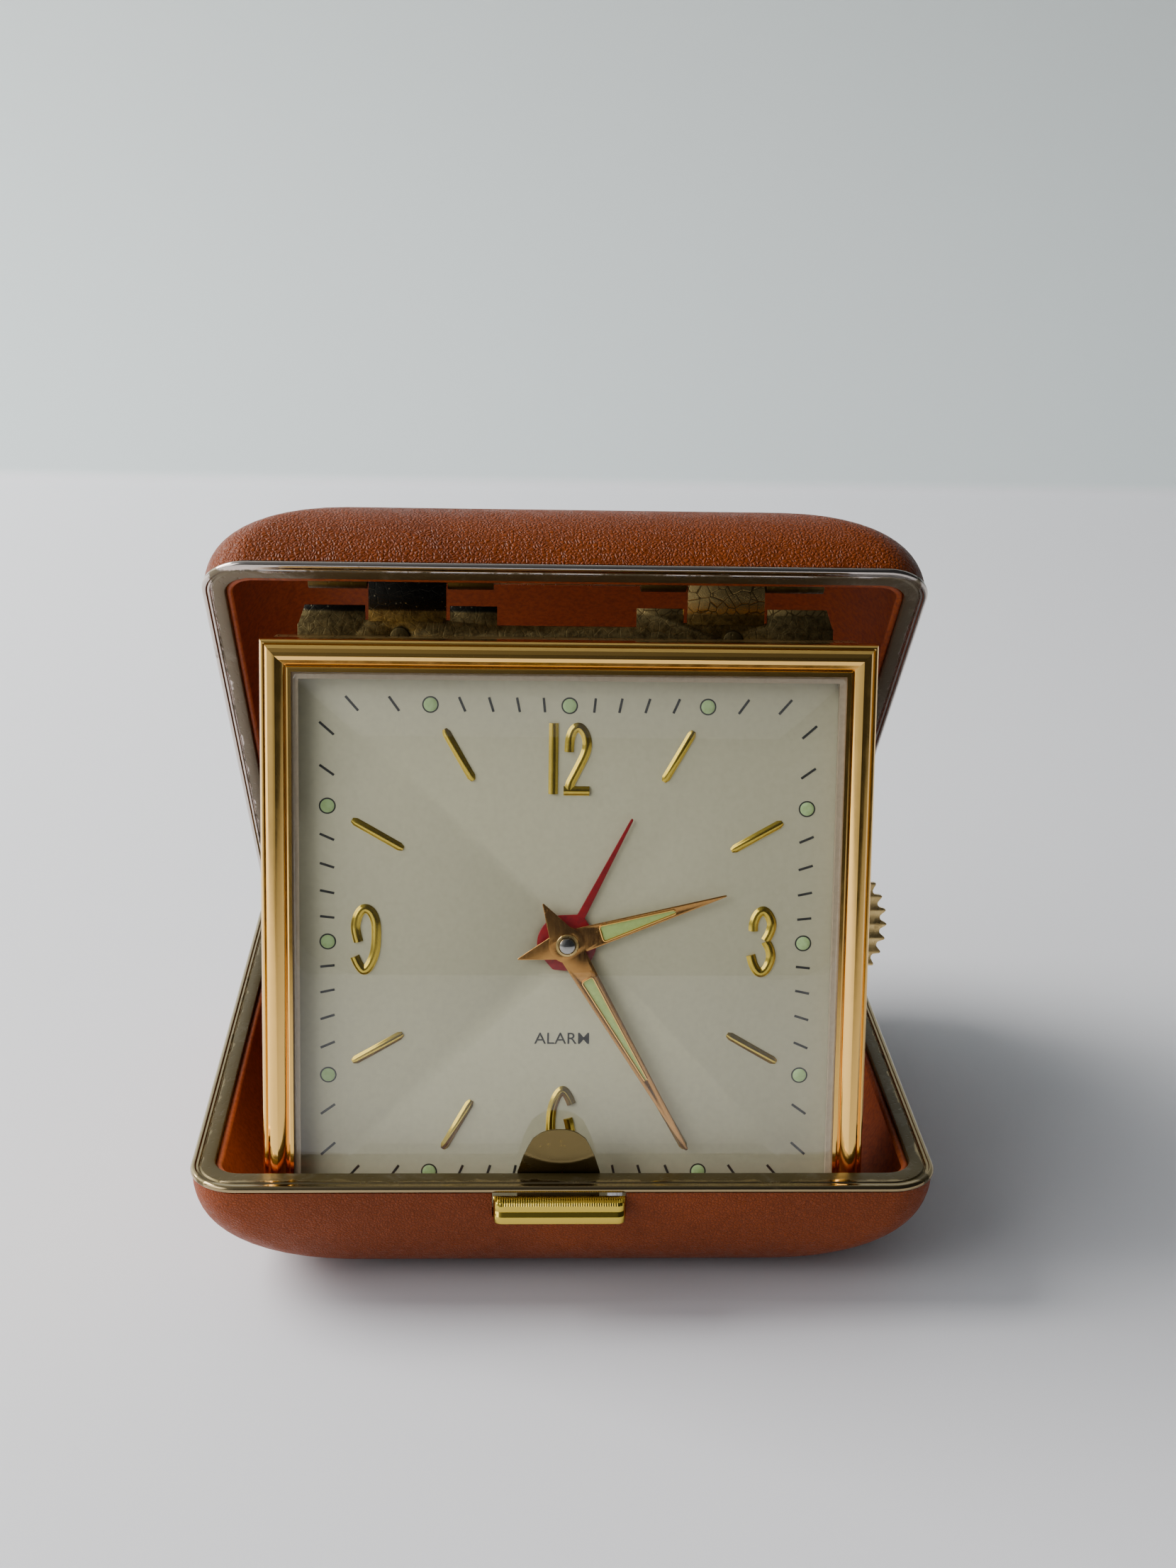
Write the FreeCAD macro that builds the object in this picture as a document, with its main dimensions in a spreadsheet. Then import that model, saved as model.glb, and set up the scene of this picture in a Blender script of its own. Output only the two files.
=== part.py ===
"""A folding travel alarm clock in a padded leather case, as a parametric document.

The case is two equal shells hinged at the back.  The clock head hangs from the lid's
front edge on a second hinge, and its foot stands in the base tray, behind the front rim.

Frame: X to the right, Y to the back, Z up, in millimetres.  The origin is the centre of
the base's flat underside.  Parts of the lid are drawn as if the case were shut, about the
rear hinge; parts of the head are drawn flat, with X along the dial, Y up the dial and
Z out of the dial towards the reader, and are then stood up by the head's placement.
"""
import FreeCAD, Part
import math
import os
import Sketcher
from FreeCAD import Placement, Rotation, Vector

doc = FreeCAD.newDocument("travel_alarm_clock")
sheet = doc.addObject("Spreadsheet::Sheet", "Sizes")

SIZES = [
    ("case_width", 80.0, "rim, left to right"),
    ("case_depth", 79.2, "rim, front to back"),
    ("case_corner", 5.3, "corner radius of the rim in plan"),
    ("half_height", 15.2, "rim plane above the flat underside"),
    ("rim_thickness", 0.8, "rim bead, top to bottom"),
    ("rim_proud", 0.2, "bead outside the leather"),
    ("side_flange", 2.55, "flat rim width at the sides and back"),
    ("front_flange", 3.1, "flat rim width at the front"),
    ("flange_corner", 3.0, "inner corner radius of the rim"),
    ("bead_round", 0.35, "rounding of the rim bead"),
    ("corner_growth", 0.8, "plan corner radius gained per millimetre of inset"),
    ("leather", 0.7, "leather cover thickness"),
    ("steel", 0.5, "pressed steel shell thickness"),
    ("lining", 0.3, "lining thickness"),
    ("hinge_back", 0.7, "rear hinge axis behind the rim"),
    ("hinge_barrel", 0.65, "rear hinge knuckle radius"),
    ("hinge_wire", 0.35, "rear hinge pin radius"),
    ("lid_angle", 48.7, "lid above the base in the standing position, degrees"),
    ("head_tilt", 11.25, "dial leaning back from upright, degrees"),
    ("head_back", 12.8, "dial centre behind the front edge of the rim"),
    ("head_up", 22.5, "dial centre above the rim plane"),
    ("head_half", 32.4, "half width of the head frame"),
    ("head_foot", 31.0, "dial centre down to the foot"),
    ("corner_cut", 2.9, "legs of the cut across the head's two lower corners"),
    ("glass_half", 28.85, "half width of the crystal"),
    ("band_half", 31.9, "half width of the case band"),
    ("band_wall", 0.8, "case band wall"),
    ("band_front", -0.9, "front edge of the case band"),
    ("band_rear", -10.6, "rear edge of the case band"),
    ("cover_sheet", 0.6, "back cover sheet thickness"),
    ("dome_rear", -15.0, "outer face of the back cover's raised panel"),
    ("dial_half", 29.85, "half width of the dial plate"),
    ("dial_sheet", 0.4, "dial thickness"),
    ("glass_front", 2.75, "front of the crystal above the dial"),
    ("glass_sheet", 0.6, "crystal thickness"),
    ("pivot_up", 38.0, "top hinge axis above the dial centre, along the dial"),
    ("pivot_rear", -11.5, "top hinge axis behind the dial"),
    ("pivot_barrel", 1.0, "top hinge knuckle radius"),
    ("pivot_wire", 0.42, "top hinge pin radius"),
    ("running", 0.04, "radial clearance of a pin or arbor in its hole"),
    ("tab_inner", 13.3, "inner end of a head hinge tab"),
    ("tab_outer", 21.8, "outer end of a head hinge tab"),
    ("block_inner", 7.7, "inner end of the raised part of the hinge plate"),
    ("block_outer", 28.8, "outer end of the raised part of the hinge plate"),
    ("plate_front", -2.9, "front face of the front movement plate"),
    ("plate_rear", -8.9, "front face of the back movement plate"),
    ("plate_sheet", 0.6, "movement plate thickness"),
    ("plate_half_wide", 30.0, "half width of the movement plates"),
    ("plate_half_tall", 24.0, "half height of the movement plates"),
    ("centre_arbor", 0.8, "centre arbor radius"),
    ("arbor", 0.5, "radius of the other arbors"),
    ("motion_module", 0.25, "gear module under the dial"),
    ("train_module", 0.275, "gear module between the plates"),
    ("fine_module", 0.2, "gear module of the escape drive"),
    ("winding_module", 0.505, "gear module of the winding wheels"),
    ("winding_x", 27.8, "thumb wheel axis right of the dial centre"),
    ("thumb_front", -9.75, "front face of the thumb wheel"),
    ("thumb_sheet", 0.7, "thumb wheel thickness"),
    ("hand_sheet", 0.15, "thickness of the hands"),
    ("minute_length", 26.3, "minute hand, axis to tip"),
    ("hour_length", 17.9, "hour hand, axis to tip"),
    ("alarm_length", 15.2, "alarm hand, axis to tip"),
    ("minute_level", 1.3, "underside of the minute hand above the dial"),
    ("hour_level", 0.85, "underside of the hour hand above the dial"),
    ("alarm_level", 0.35, "underside of the alarm hand above the dial"),
    ("knob_rear", -18.6, "outer face of the setting knobs"),
    ("button_width", 14.0, "latch push bar, left to right"),
    ("button_proud", 1.9, "latch push bar in front of the rim"),
    ("button_top", 0.9, "top of the push bar below the rim plane"),
    ("button_tall", 2.8, "height of the push bar"),
    ("latch_left", 0.7, "latch centre left of the case centre"),
    ("tongue_width", 8.9, "latch tongue width at the rim"),
    ("tongue_height", 5.0, "latch tongue above the rim plane"),
    ("tongue_sheet", 0.3, "latch tongue thickness"),
    ("dot_square", 25.4, "half side of the square minute track"),
]
for row, (alias, value, note) in enumerate(SIZES, start=1):
    sheet.set(f"A{row}", alias)
    sheet.set(f"B{row}", str(value))
    sheet.setAlias(f"B{row}", alias)
    sheet.set(f"C{row}", note)
doc.recompute()


class Size:
    """A number that also carries the spreadsheet expression that it comes from."""

    def __init__(self, value, text=None):
        self.value = float(value)
        self.text = text or f"({self.value:.6f})"

    def _join(self, other, sign, value):
        return Size(value, f"({self.text} {sign} {as_size(other).text})")

    def __add__(self, other):
        return self._join(other, "+", self.value + float(other))

    def __sub__(self, other):
        return self._join(other, "-", self.value - float(other))

    def __mul__(self, other):
        return self._join(other, "*", self.value * float(other))

    def __truediv__(self, other):
        return self._join(other, "/", self.value / float(other))

    def __rsub__(self, other):
        return as_size(other) - self

    def __neg__(self):
        return Size(-self.value, f"(0 - {self.text})")

    def __float__(self):
        return self.value

    __radd__ = __add__
    __rmul__ = __mul__


def as_size(thing):
    """Accept a plain number wherever a Size is wanted."""
    return thing if isinstance(thing, Size) else Size(thing)


class Sheet:
    """Gives every alias of the spreadsheet as an attribute that is a Size."""

    def __getattr__(self, alias):
        return Size(sheet.get(alias), f"Sizes.{alias}")


S = Sheet()
subparts = {}

# ---------------------------------------------------------------- placements
RIM_Z = float(S.half_height)
FRONT_Y = -float(S.case_depth) / 2
HINGE = Vector(0, float(S.case_depth) / 2 + float(S.hinge_back), RIM_Z)
BASE = Placement(Vector(0, 0, RIM_Z), Rotation())
LID = Placement(HINGE, Rotation(Vector(1, 0, 0), -float(S.lid_angle)))
HEAD = Placement(
    Vector(0, FRONT_Y + float(S.head_back), RIM_Z + float(S.head_up)),
    Rotation(Vector(1, 0, 0), 90 - float(S.head_tilt)),
)


def on_head(x=0, y=0, turn=0):
    """Placement of a wheel or knob drawn about its own axis, on the head."""
    return HEAD.multiply(Placement(Vector(float(x), float(y), 0), Rotation(Vector(0, 0, 1), turn)))


# ---------------------------------------------------------------- drawing helpers
def new_body(label):
    body = doc.addObject("PartDesign::Body", label)
    body.Label = label
    return body


def origin_feature(body, role):
    return next(item for item in body.Origin.OriginFeatures if item.Role == role)


def new_sketch(body, role="XY_Plane", lift=0, turn=0):
    """A sketch on one of the body's own planes, lifted along it and turned about Z."""
    sketch = body.newObject("Sketcher::SketchObject", body.Name + "_sketch")
    sketch.AttachmentSupport = [(origin_feature(body, role), "")]
    sketch.MapMode = "FlatFace"
    sketch.AttachmentOffset = Placement(Vector(0, 0, float(lift)), Rotation(Vector(0, 0, 1), turn))
    if isinstance(lift, Size):
        sketch.setExpression("AttachmentOffset.Base.z", lift.text)
    return sketch


def bind(sketch, size, *terms):
    """Add a dimension to a sketch and tie it to its spreadsheet expression."""
    index = sketch.addConstraint(Sketcher.Constraint(*terms, float(size)))
    sketch.setExpression(f"Constraints[{index}]", as_size(size).text)


def pin_point(sketch, geometry, end, x, y):
    """Fix one point of a sketch at x, y from the sketch's origin."""
    for size, kind, axis in ((x, "DistanceX", -2), (y, "DistanceY", -1)):
        if abs(float(size)) < 1e-9:
            sketch.addConstraint(Sketcher.Constraint("PointOnObject", geometry, end, axis))
        else:
            bind(sketch, size, kind, -1, 1, geometry, end)


def circle(sketch, radius, x=0, y=0):
    centre = Vector(float(x), float(y), 0)
    index = sketch.addGeometry(Part.Circle(centre, Vector(0, 0, 1), float(radius)), False)
    pin_point(sketch, index, 3, x, y)
    bind(sketch, radius, "Radius", index)


def polygon(sketch, points):
    """A closed outline whose corners are all fixed from the sketch's origin."""
    corners = [Vector(float(x), float(y), 0) for x, y in points]
    first = sketch.GeometryCount
    for index, corner in enumerate(corners):
        sketch.addGeometry(Part.LineSegment(corner, corners[(index + 1) % len(corners)]), False)
    for index, (x, y) in enumerate(points):
        after = first + (index + 1) % len(points)
        sketch.addConstraint(Sketcher.Constraint("Coincident", first + index, 2, after, 1))
        pin_point(sketch, first + index, 1, x, y)


def rectangle(sketch, x0, x1, y0, y1):
    polygon(sketch, [(x0, y0), (x1, y0), (x1, y1), (x0, y1)])


def pad(body, low, high, draw, turn=0):
    """Add material between two levels, with the outline that draw makes."""
    sketch = new_sketch(body, lift=low, turn=turn)
    draw(sketch)
    feature = body.newObject("PartDesign::Pad", body.Name + "_pad")
    feature.Profile = sketch
    feature.setExpression("Length", (as_size(high) - low).text)
    return feature


def pocket(body, low, high, draw, turn=0):
    """Cut between two levels; the sketch is on top and the cut goes down from it."""
    doc.recompute()
    before = body.Shape.Volume
    sketch = new_sketch(body, lift=high, turn=turn)
    draw(sketch)
    feature = body.newObject("PartDesign::Pocket", body.Name + "_pocket")
    feature.Profile = sketch
    feature.setExpression("Length", (as_size(high) - low).text)
    doc.recompute()
    if body.Shape.Volume >= before - 1e-6:
        raise RuntimeError(f"{body.Label}: a pocket cuts nothing")
    return feature


def turned(body, profile):
    """Revolve a half profile of (radius, height) corners about the body's Z axis."""
    sketch = new_sketch(body, role="XZ_Plane")
    polygon(sketch, profile)
    feature = body.newObject("PartDesign::Revolution", body.Name + "_turning")
    feature.Profile = sketch
    feature.ReferenceAxis = (sketch, ["V_Axis"])
    feature.Angle = 360
    return feature


def pattern(body, feature, count):
    """Repeat a feature round the body's Z axis."""
    polar = body.newObject("PartDesign::PolarPattern", body.Name + "_pattern")
    polar.Originals = [feature]
    polar.Axis = (origin_feature(body, "Z_Axis"), [""])
    polar.Angle = 360
    polar.Occurrences = count
    body.Tip = polar


def fillet(body, feature, radius, wanted):
    """Round those edges of a feature for which wanted(edge) is true."""
    doc.recompute()
    names = [f"Edge{i}" for i, edge in enumerate(feature.Shape.Edges, start=1) if wanted(edge)]
    rounding = body.newObject("PartDesign::Fillet", body.Name + "_fillet")
    rounding.Base = (feature, names)
    rounding.setExpression("Radius", as_size(radius).text)
    return rounding


def upright(edge):
    ends = [vertex.Point for vertex in edge.Vertexes]
    return len(ends) == 2 and (ends[0] - ends[1]).cross(Vector(0, 0, 1)).Length < 1e-6


def finish(label, feature, placement):
    """Name a sub-part, put it in its place and keep it for writing out."""
    feature.Label = label
    feature.Placement = placement
    subparts[label] = feature


def solid_feature(label, shape, placement):
    """A sub-part whose surface no sketch or primitive gives, from Part's own functions."""
    feature = doc.addObject("Part::Feature", label)
    feature.Shape = shape
    finish(label, feature, placement.multiply(shape.Placement))


def primitive_fuse(label, tools, placement):
    """A sub-part that is one primitive or a union of several."""
    if len(tools) == 1:
        finish(label, tools[0], placement.multiply(tools[0].Placement))
        return
    union = doc.addObject("Part::MultiFuse", label)
    union.Shapes = tools
    finish(label, union, placement)


def box(x0, x1, y0, y1, z0, z1):
    tool = doc.addObject("Part::Box", "block")
    for name, low, high in (("Length", x0, x1), ("Width", y0, y1), ("Height", z0, z1)):
        tool.setExpression(name, (as_size(high) - low).text)
    for axis, low in (("x", x0), ("y", y0), ("z", z0)):
        tool.setExpression(f"Placement.Base.{axis}", as_size(low).text)
    return tool


def rod(radius, start, length, axis=Vector(0, 0, 1)):
    """A cylinder from a start point along an axis."""
    tool = doc.addObject("Part::Cylinder", "rod")
    tool.setExpression("Radius", as_size(radius).text)
    tool.setExpression("Height", as_size(length).text)
    tool.Placement = Placement(Vector(*[float(c) for c in start]), Rotation(Vector(0, 0, 1), axis))
    return tool


def cut(base, tool):
    difference = doc.addObject("Part::Cut", "difference")
    difference.Base = base
    difference.Tool = tool
    return difference


def fuse(tools):
    union = doc.addObject("Part::MultiFuse", "union")
    union.Shapes = tools
    return union


# ---------------------------------------------------------------- case shells
ARC_STEPS = 6


def rounded_wire(half_x, half_y, radius, z):
    """A rounded rectangle, centred on the case, as four lines and four arcs."""
    edges = []
    for quarter in range(4):
        start = math.radians(90 * quarter)
        sx = 1 if quarter in (0, 3) else -1
        sy = 1 if quarter in (0, 1) else -1
        centre = Vector(sx * (half_x - radius), sy * (half_y - radius), z)
        arc_points = [
            centre + Vector(radius * math.cos(start + t), radius * math.sin(start + t), 0)
            for t in (0, math.pi / 4, math.pi / 2)
        ]
        edges.append(Part.Arc(*arc_points).toShape())
    sides = []
    for quarter in range(4):
        end = edges[quarter].Vertexes[-1].Point
        begin = edges[(quarter + 1) % 4].Vertexes[0].Point
        sides += [edges[quarter], Part.makeLine(end, begin)]
    return Part.Wire(sides)


def pillow(offset):
    """The inside of one wall layer: a quarter-round section from rim to flat underside.

    offset is how far the layer's surface lies inside the leather's own surface.
    """
    height = float(S.half_height - S.rim_thickness)
    wires = []
    for step in range(ARC_STEPS + 1):
        angle = math.pi / 2 * step / ARC_STEPS
        round_radius = height - offset
        inset = float(S.rim_proud) + offset + round_radius * (1 - math.cos(angle))
        grown = height * (1 - math.cos(angle)) * float(S.corner_growth)
        radius = float(S.case_corner) + grown - offset * math.cos(angle)
        half_x = float(S.case_width) / 2 - inset
        half_y = float(S.case_depth) / 2 - inset
        wires.append(rounded_wire(half_x, half_y, radius, -round_radius * math.sin(angle)))
    solid = Part.makeLoft(wires, True, False)
    solid.translate(Vector(0, 0, -float(S.rim_thickness)))
    return solid


def prism(x0, x1, y0, y1, z0, z1):
    return Part.makeBox(x1 - x0, y1 - y0, z1 - z0, Vector(x0, y0, z0))


def latch_slot():
    """The slot in the base's front wall that the push bar moves in."""
    half = float(S.button_width) / 2 + 0.15
    middle = -float(S.latch_left)
    top = -float(S.rim_thickness)
    bottom = -float(S.button_top + S.button_tall) - 0.1
    return prism(middle - half, middle + half, FRONT_Y - 1, FRONT_Y + 4, bottom, top)


def rim_ring():
    """The rim: a flat flange with a rounded bead round its outer edge."""
    thick = float(S.rim_thickness)
    half_width, half_depth = float(S.case_width) / 2, float(S.case_depth) / 2
    outer = rounded_wire(half_width, half_depth, float(S.case_corner), -thick)
    ring = Part.Face(outer).extrude(Vector(0, 0, thick))
    bead = float(S.bead_round)
    outline = [e for e in ring.Edges if e.BoundBox.ZLength < 1e-6]
    ring = ring.makeFillet(bead, outline)
    front = half_depth - float(S.front_flange)
    back = half_depth - float(S.side_flange)
    half_x = half_width - float(S.side_flange)
    hole = rounded_wire(half_x, (front + back) / 2, float(S.flange_corner), -thick - 1)
    opening = Part.Face(hole).extrude(Vector(0, 0, thick + 2))
    opening.translate(Vector(0, (back - front) / 2, 0))
    return ring.cut(opening)


def shut_lid(shape):
    """Turn a base shell over, so that it lies on the base as the shut lid does."""
    flipped = shape.copy()
    flipped.rotate(Vector(0, 0, 0), Vector(0, 1, 0), 180)
    flipped.translate(Vector(0, -HINGE.y, 0))
    return flipped


LAYERS = [("leather", S.leather), ("shell", S.steel), ("lining", S.lining)]
depth_in = 0.0
for layer, thickness in LAYERS:
    outside = pillow(depth_in)
    depth_in += float(thickness)
    wall = outside.cut(pillow(depth_in))
    solid_feature(f"base_{layer}", wall.cut(latch_slot()), BASE)
    solid_feature(f"lid_{layer}", shut_lid(wall), LID)
solid_feature("base_rim", rim_ring(), BASE)
solid_feature("lid_rim", shut_lid(rim_ring()), LID)


# ---------------------------------------------------------------- rear hinge
KNUCKLE = 8.7
KNUCKLE_GAP = 0.15
KNUCKLE_PITCH = KNUCKLE + KNUCKLE_GAP
BACK_Y = S.case_depth / 2
AXIS_X = Vector(1, 0, 0)


def hinge_leaf(label, slots, origin_y, side, placement):
    """Knuckles on the rear hinge line, each with a lug that is fixed to the rim."""
    pieces = []
    for slot in slots:
        start = slot * KNUCKLE_PITCH - KNUCKLE / 2
        pieces.append(rod(S.hinge_barrel, (start, origin_y + S.hinge_back, 0), KNUCKLE, AXIS_X))
        low, high = (-0.65, -0.1) if side < 0 else (0.1, 0.65)
        pieces.append(box(start, start + KNUCKLE, origin_y, origin_y + S.hinge_back, low, high))
    bore = rod(S.hinge_wire + S.running, (-30, origin_y + S.hinge_back, 0), 60, AXIS_X)
    finish(label, cut(fuse(pieces), bore), placement)


hinge_leaf("rear_hinge_base_leaf", (-2, 0, 2), BACK_Y, -1, BASE)
hinge_leaf("rear_hinge_lid_leaf", (-1, 1), -S.hinge_back, 1, LID)
hinge_length = 5 * KNUCKLE_PITCH
wire = rod(S.hinge_wire, (-hinge_length / 2, BACK_Y + S.hinge_back, 0), hinge_length, AXIS_X)
primitive_fuse("rear_hinge_pin", [wire], BASE)


# ---------------------------------------------------------------- top hinge
# The axis in the shut lid's own frame, worked out from the head's standing position.
PIVOT = LID.inverse().multVec(HEAD.multVec(Vector(0, float(S.pivot_up), float(S.pivot_rear))))
LID_KNUCKLES = [(-28.4, -21.95), (-13.15, -8.1), (8.1, 13.15), (21.95, 28.4)]
pieces = []
for low, high in LID_KNUCKLES:
    pieces.append(rod(S.pivot_barrel, (low, PIVOT.y, PIVOT.z), high - low, AXIS_X))
    pieces.append(box(low, high, PIVOT.y - 1.6, PIVOT.y, PIVOT.z - 0.75, PIVOT.z - 0.25))
for low, high in ((-28.4, -8.1), (8.1, 28.4)):
    pieces.append(box(low, high, PIVOT.y - 3.0, PIVOT.y - 1.3, PIVOT.z - 0.75, PIVOT.z - 0.25))
bore = rod(S.pivot_wire + S.running, (-30, PIVOT.y, PIVOT.z), 60, AXIS_X)
finish("top_hinge_bracket", cut(fuse(pieces), bore), LID)
wire = rod(S.pivot_wire, (-28.2, PIVOT.y, PIVOT.z), 56.4, AXIS_X)
primitive_fuse("top_hinge_pin", [wire], LID)

# The plate on the back of the head: a low strip, two taller blocks and two curled tabs.
RIVETS = [(-18.4, 31.75), (18.4, 31.75)]
RIVET_SHANK = 0.6
RIVET_HEAD = 1.1
PLATE_LOW = S.pivot_rear - 0.3
PLATE_HIGH = S.pivot_rear + 0.3
TAB_GAP = 0.4
hinge_plate = new_body("head_hinge_plate")
STRIP_TOP = S.head_half + 0.7
BLOCK_TOP = S.head_half + 2.8


def strip(sketch):
    rectangle(sketch, -S.block_outer - 0.8, S.block_outer + 0.8, 24.5, STRIP_TOP)


pad(hinge_plate, PLATE_LOW, PLATE_HIGH, strip)
for side in (-1, 1):
    def block(sketch):
        outline = [
            (side * S.block_inner, STRIP_TOP - 0.3),
            (side * (S.block_outer + 0.8), STRIP_TOP - 0.3),
            (side * S.block_outer, BLOCK_TOP),
            (side * S.block_inner, BLOCK_TOP),
        ]
        polygon(sketch, outline)

    pad(hinge_plate, PLATE_LOW, PLATE_HIGH, block)
for side in (-1, 1):
    for edge in (S.tab_inner - TAB_GAP, S.tab_outer):
        def relief(sketch):
            ends = (side * edge, side * (edge + TAB_GAP))
            rectangle(sketch, ends[0], ends[1], BLOCK_TOP - 1.6, BLOCK_TOP + 1)

        pocket(hinge_plate, PLATE_LOW, PLATE_HIGH, relief)
for x, y in RIVETS:
    pocket(hinge_plate, PLATE_LOW, PLATE_HIGH, lambda k: circle(k, RIVET_SHANK, x, y))
doc.recompute()
pieces = [hinge_plate]
for side in (-1, 1):
    low = S.tab_inner if side > 0 else -S.tab_outer
    high = S.tab_outer if side > 0 else -S.tab_inner
    pieces.append(box(low, high, STRIP_TOP, S.pivot_up, PLATE_LOW, PLATE_HIGH))
    front = S.pivot_rear + S.pivot_barrel
    pieces.append(box(low, high, STRIP_TOP + 0.4, S.pivot_up, front - 0.45, front))
    pieces.append(rod(S.pivot_barrel, (low, S.pivot_up, S.pivot_rear), high - low, AXIS_X))
bore = rod(S.pivot_wire + S.running, (-30, S.pivot_up, S.pivot_rear), 60, AXIS_X)
finish("head_hinge_plate", cut(fuse(pieces), bore), HEAD)


rivets = []
for x, y in RIVETS:
    rivets.append(rod(RIVET_HEAD, (x, y, PLATE_LOW - 0.4), 0.4))
    rivets.append(rod(RIVET_SHANK, (x, y, PLATE_LOW), PLATE_HIGH - PLATE_LOW))
    rivets.append(rod(RIVET_HEAD, (x, y, PLATE_HIGH), 0.5))
primitive_fuse("hinge_plate_rivets", rivets, HEAD)


# ---------------------------------------------------------------- latch
BAR_TOP = -S.button_top
BAR_LOW = -(S.button_top + S.button_tall)
HALF_BAR = S.button_width / 2
LATCH_X = -S.latch_left
LATCH_FRONT = -BACK_Y - S.button_proud
bar = new_body("latch_push_bar")


def bar_outline(sketch):
    rectangle(sketch, LATCH_X - HALF_BAR, LATCH_X + HALF_BAR, LATCH_FRONT, -BACK_Y - 0.1)


lip = pad(bar, BAR_LOW, BAR_TOP, bar_outline)
front_value = float(LATCH_FRONT)
fillet(bar, lip, 0.7, lambda edge: edge.BoundBox.YMax < front_value + 1e-6 and edge.BoundBox.XLength > 5)
finish("latch_push_bar", bar, BASE)

HALF_TONGUE = S.tongue_width / 2
TONGUE_FRONT = -BACK_Y + S.front_flange + 0.05
TONGUE_BACK = TONGUE_FRONT + S.tongue_sheet
STEM_LOW = BAR_TOP - 0.6
TONGUE_LEFT = LATCH_X - HALF_TONGUE
TONGUE_RIGHT = LATCH_X + HALF_TONGUE
stem = box(TONGUE_LEFT, TONGUE_RIGHT, -BACK_Y - 0.1, TONGUE_BACK, STEM_LOW, BAR_TOP)
web = box(TONGUE_LEFT, TONGUE_RIGHT, TONGUE_FRONT, TONGUE_BACK, STEM_LOW, 0.6)
dome = rod(HALF_TONGUE, (LATCH_X, TONGUE_FRONT, 0.55), S.tongue_sheet, Vector(0, 1, 0))
keep = box(TONGUE_LEFT, TONGUE_RIGHT, TONGUE_FRONT - 1, TONGUE_BACK + 1, 0.5, S.tongue_height)
rounded = doc.addObject("Part::MultiCommon", "tongue_dome")
rounded.Shapes = [dome, keep]
primitive_fuse("latch_tongue", [stem, web, rounded], BASE)
SPRING_X = (4.5, 6.1)
SPRING_BACK = -BACK_Y + 2.85
SLOT_FLOOR = BAR_LOW - 0.1
leaf = box(*SPRING_X, SPRING_BACK - 0.25, SPRING_BACK, SLOT_FLOOR + 0.3, -0.95)
foot = box(*SPRING_X, -BACK_Y + 1.0, SPRING_BACK, SLOT_FLOOR, SLOT_FLOOR + 0.3)
primitive_fuse("latch_spring", [leaf, foot], BASE)


# ---------------------------------------------------------------- head frame and glass
FRAME_PROFILE = [
    (0.0, -0.9), (0.0, 1.6), (0.12, 2.1), (0.5, 2.6), (1.1, 2.92), (1.7, 2.97), (2.25, 2.7),
    (2.6, 2.35), (2.75, 2.2), (3.35, 2.45), (3.35, 2.2), (2.5, 2.15), (2.5, -0.9),
]


def square_wire(half, z):
    corners = [Vector(sx * half, sy * half, z) for sx, sy in ((1, 1), (-1, 1), (-1, -1), (1, -1))]
    return Part.makePolygon(corners + corners[:1])


def mitred_frame():
    """Four mitred bars of one moulding, closed by ruled faces between square outlines."""
    half = float(S.head_half)
    wires = [square_wire(half - inward, z) for inward, z in FRAME_PROFILE]
    faces = []
    for first, second in zip(wires, wires[1:] + wires[:1]):
        faces += Part.makeRuledSurface(first, second).Faces
    shell = Part.makeShell(faces)
    shell.sewShape()
    return Part.makeSolid(shell)


frame_solid = mitred_frame()
if frame_solid.Volume < 0:
    frame_solid.reverse()
reach = float(S.head_half) + 1
below = prism(-reach, reach, -reach, -float(S.head_foot), -5, 5)
frame_solid = frame_solid.cut(below)
CUT_LINE = float(S.head_half + S.head_foot - S.corner_cut)
for side in (-1, 1):
    corner = [Vector(side * reach, reach - CUT_LINE, -5), Vector(side * reach, -reach, -5),
              Vector(side * (CUT_LINE - reach), -reach, -5)]
    wedge = Part.Face(Part.makePolygon(corner + corner[:1])).extrude(Vector(0, 0, 10))
    frame_solid = frame_solid.cut(wedge)
solid_feature("head_frame", frame_solid, HEAD)

GLASS_BACK = S.glass_front - S.glass_sheet
crystal = new_body("crystal")


def glass_outline(sketch):
    rectangle(sketch, -S.glass_half, S.glass_half, -S.glass_half, S.glass_half)


pad(crystal, GLASS_BACK, S.glass_front, glass_outline)
finish("crystal", crystal, HEAD)

retainer = new_body("crystal_retainer")
pad(retainer, 0.05, GLASS_BACK - 0.05, lambda k: rectangle(k, -29.8, 29.8, -29.8, 29.8))
pocket(retainer, 0.05, GLASS_BACK - 0.05, lambda k: rectangle(k, -28.3, 28.3, -28.3, 28.3))
finish("crystal_retainer", retainer, HEAD)

dial = new_body("dial")


def dial_outline(sketch):
    rectangle(sketch, -S.dial_half, S.dial_half, -S.dial_half, S.dial_half)


pad(dial, -S.dial_sheet, 0, dial_outline)
pocket(dial, -S.dial_sheet, 0, lambda k: circle(k, 1.75))
finish("dial", dial, HEAD)


def radial_block(x, y, length, width, height, angle):
    """A raised dial mark with its length at an angle from the dial's X axis."""
    tool = doc.addObject("Part::Box", "mark")
    tool.setExpression("Length", as_size(length).text)
    tool.setExpression("Width", as_size(width).text)
    tool.setExpression("Height", as_size(height).text)
    turn = Rotation(Vector(0, 0, 1), angle)
    corner = Vector(x, y, 0) + turn.multVec(Vector(-float(length) / 2, -float(width) / 2, 0))
    tool.Placement = Placement(corner, turn)
    return tool


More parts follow.
